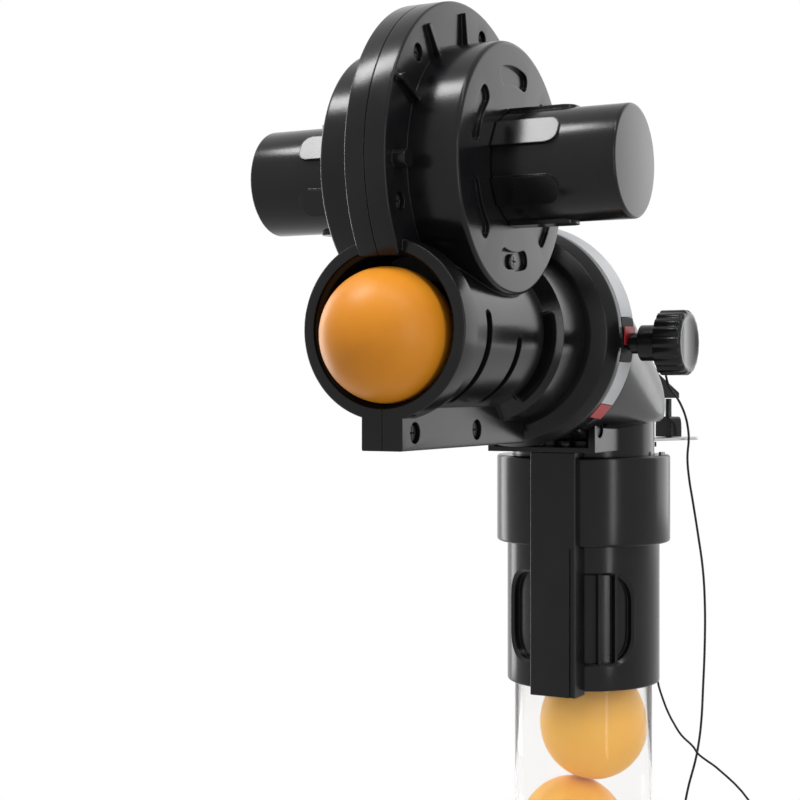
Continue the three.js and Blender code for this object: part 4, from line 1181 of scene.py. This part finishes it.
def makeTyre():
    half, hollow, inner = drive["tyreHalf"], drive["tyreHollow"], drive["tyreInner"]
    side = drive["tyre"] - hollow
    tread = [(drive["tyre"] - hollow * (1 - abs(i) / 8) ** 2, i / 8 * (half - hollow))
             for i in range(-8, 9)]
    tyre = sweep([(inner, -half), (side, -half), *tread, (side, half), (inner, half)],
                 toWheel, steps=144)
    finished(tyre, "wheelTyre", "tyre", "wheel", sharpAngle=40)


makeCaps()
makeTyre()
print("motor caps and tyre made")


# Screws with a cross recess, each where its node is

screw = {
    "dome": 0.35, "domeCurve": ((0, 1), (0.4, 0.3), (1.4, 0)),
    "cross": 0.45, "crossReach": 0.62, "depth": 0.9, "depthShare": 0.6,
    "rimHead": 1.8, "drumHead": 0.8, "drumShank": 0.8,
}


# A screw along X; its head lies from headFrom to headTo
def crossScrew(name, centre, head, headFrom, headTo, shank, shankTo):
    _, y, z = centre
    way = 1 if headTo > headFrom else -1
    dome = screw["dome"]
    body = sweep([
        (0, shankTo), (shank, shankTo), (shank, headFrom), (head, headFrom),
        *[(head - a * dome, headTo - way * b * dome) for a, b in screw["domeCurve"]], (0, headTo),
    ], alongX(y, z), steps=40)
    depth = min(screw["depth"], abs(headTo - headFrom) * screw["depthShare"])
    low, high = sorted((headTo - way * depth, headTo + way))
    reach, wide = head * screw["crossReach"], screw["cross"] / 2
    cross = join(*[block(low, high, y - a, y + a, z - b, z + b)
                   for a, b in ((reach, wide), (wide, reach))])
    finished(cut(body, cross), name, "blackSteel", "head")


def makeScrews():
    half, shank, head = housing["rimHalf"], housing["screwShank"], housing["screwHead"]
    seat = half - housing["sink"] + gap
    for kind, count, wide in (("rim", 4, head), ("foot", 2, housing["footHole"] - gap)):
        for i in range(1, count + 1):
            crossScrew(f"{kind}Screw{i}", nodeCentre(f"{kind}_screw_{i}"), wide, seat,
                       seat + screw["rimHead"], shank, -half / 2)
    face = housing["drumHalf"] - housing["pocketDepth"]
    seat = face + gap
    for word, way in (("right", 1), ("left", -1)):
        crossScrew(f"drumScrew{word.title()}", nodeCentre(f"drum_screw_{word}"), head,
                   way * seat, way * (seat + screw["drumHead"]), shank / 2,
                   way * (face - screw["drumShank"]))


makeScrews()
print("screws made")


# Finishes of the nodes that stay

for material, nodes in (
    ("steel", ("motor_right", "motor_left", "bearing_right", "bearing_left", "wheel_shaft",
               "collar_pin")),
    ("blackSteel", ("tilt_pin", "arm_screw_left", "arm_screw_right")),
    ("lead", ("lead_a_gland", "lead_b_gland")), ("trim", ("wheel_hub",)), ("bush", ("neck_bush",)),
):
    for node in nodes:
        for place in bpy.data.objects[node].material_slots:
            place.material = materials[material]


# White room with large soft lamps

room = {
    "diffuse": 0.5, "target": (0, -0.05, 0.19),
    "floor": 120, "floorCentre": (25, 5, -0.2), "fadeFrom": 45, "floorSides": 96,
    "floorColour": (0.9, 0.9, 0.9, 1), "floorRoughness": 0.6,
    "lamps": (
        ("keyLamp", (-0.42, -0.42, 1.05), (0.38, 0.2), "Y", 7),
        ("edgeLamp", (0.3, -0.4, 1.0), (0.75, 0.06), "Y", 2.8),
        ("backRightLamp", (0.46, 0.93, 0.5), (0.8, 1), "Z", 3.4),
        ("rightLamp", (0.9, -0.5, 0.25), (0.1, 0.7), "Z", 2.2),
        ("leftLamp", (-0.95, 0.3, 0.25), (0.3, 0.8), "Z", 3),
    ),
}


# The second side of an area lamp runs along the axis named by along
def areaLamp(name, place, size, along, power):
    data = bpy.data.lights.new(name, "AREA")
    data.shape = "RECTANGLE"
    data.size, data.size_y = size
    data.energy = power
    lamp = addObject(name, data)
    lamp.location = place
    back = (Vector(place) - Vector(room["target"])).normalized()
    side = Vector([axis == along for axis in "XYZ"]).cross(back).normalized()
    lamp.rotation_euler = Matrix((side, back.cross(side), back)).transposed().to_euler()


# 1 for the rays that show the background: seen directly, in gloss or through clear plastic
def seenRays(tree):
    rays = addNode(tree, "ShaderNodeLightPath").outputs
    result = rays["Is Camera Ray"]
    for kind in ("Is Glossy Ray", "Is Transmission Ray"):
        result = addNode(tree, "ShaderNodeMath", {0: result, 1: rays[kind]}, operation="MAXIMUM")
    return result


# A pale floor that keeps the shadow near the object and fades into the white background
def makeFloor():
    centre = Vector(room["floorCentre"])

    def build(shape):
        bmesh.ops.create_circle(shape, cap_ends=True, segments=room["floorSides"],
                                radius=room["floor"])
        for vert in shape.verts:
            vert.co += centre

    floor = meshPiece(build, "floor")
    material, tree, shader = newMaterial("whiteFloor")
    feed(tree, shader, {"Base Color": room["floorColour"], "Roughness": room["floorRoughness"]})
    place = addNode(tree, "ShaderNodeTexCoord")
    away = addNode(tree, "ShaderNodeVectorMath", {0: place.outputs["Object"], 1: centre * mm},
                   operation="DISTANCE")
    fade = addNode(tree, "ShaderNodeMapRange", {
        "Value": away.outputs["Value"], "From Min": room["fadeFrom"] * mm,
        "From Max": room["floor"] * mm}, interpolation_type="SMOOTHSTEP")
    shown = addNode(tree, "ShaderNodeMath", {0: fade, 1: seenRays(tree)}, operation="MULTIPLY")
    white = addNode(tree, "ShaderNodeEmission")
    mix = addNode(tree, "ShaderNodeMixShader", {"Fac": shown, 1: shader, 2: white})
    feed(tree, tree.nodes["Material Output"], {"Surface": mix})
    floor.data.materials.append(material)


def makeRoom():
    world = bpy.data.worlds.new("whiteRoom")
    world.use_nodes = True
    tree = world.node_tree
    plain = tree.nodes["Background"]
    feed(tree, plain, {"Color": (1, 1, 1, 1), "Strength": room["diffuse"]})
    white = addNode(tree, "ShaderNodeBackground", {"Color": (1, 1, 1, 1)})
    mix = addNode(tree, "ShaderNodeMixShader", {"Fac": seenRays(tree), 1: plain, 2: white})
    feed(tree, tree.nodes["World Output"], {"Surface": mix})
    bpy.context.scene.world = world
    bpy.context.scene.view_settings.view_transform = "Standard"
    for lamp in room["lamps"]:
        areaLamp(*lamp)


makeRoom()
makeFloor()
print("scene ready")
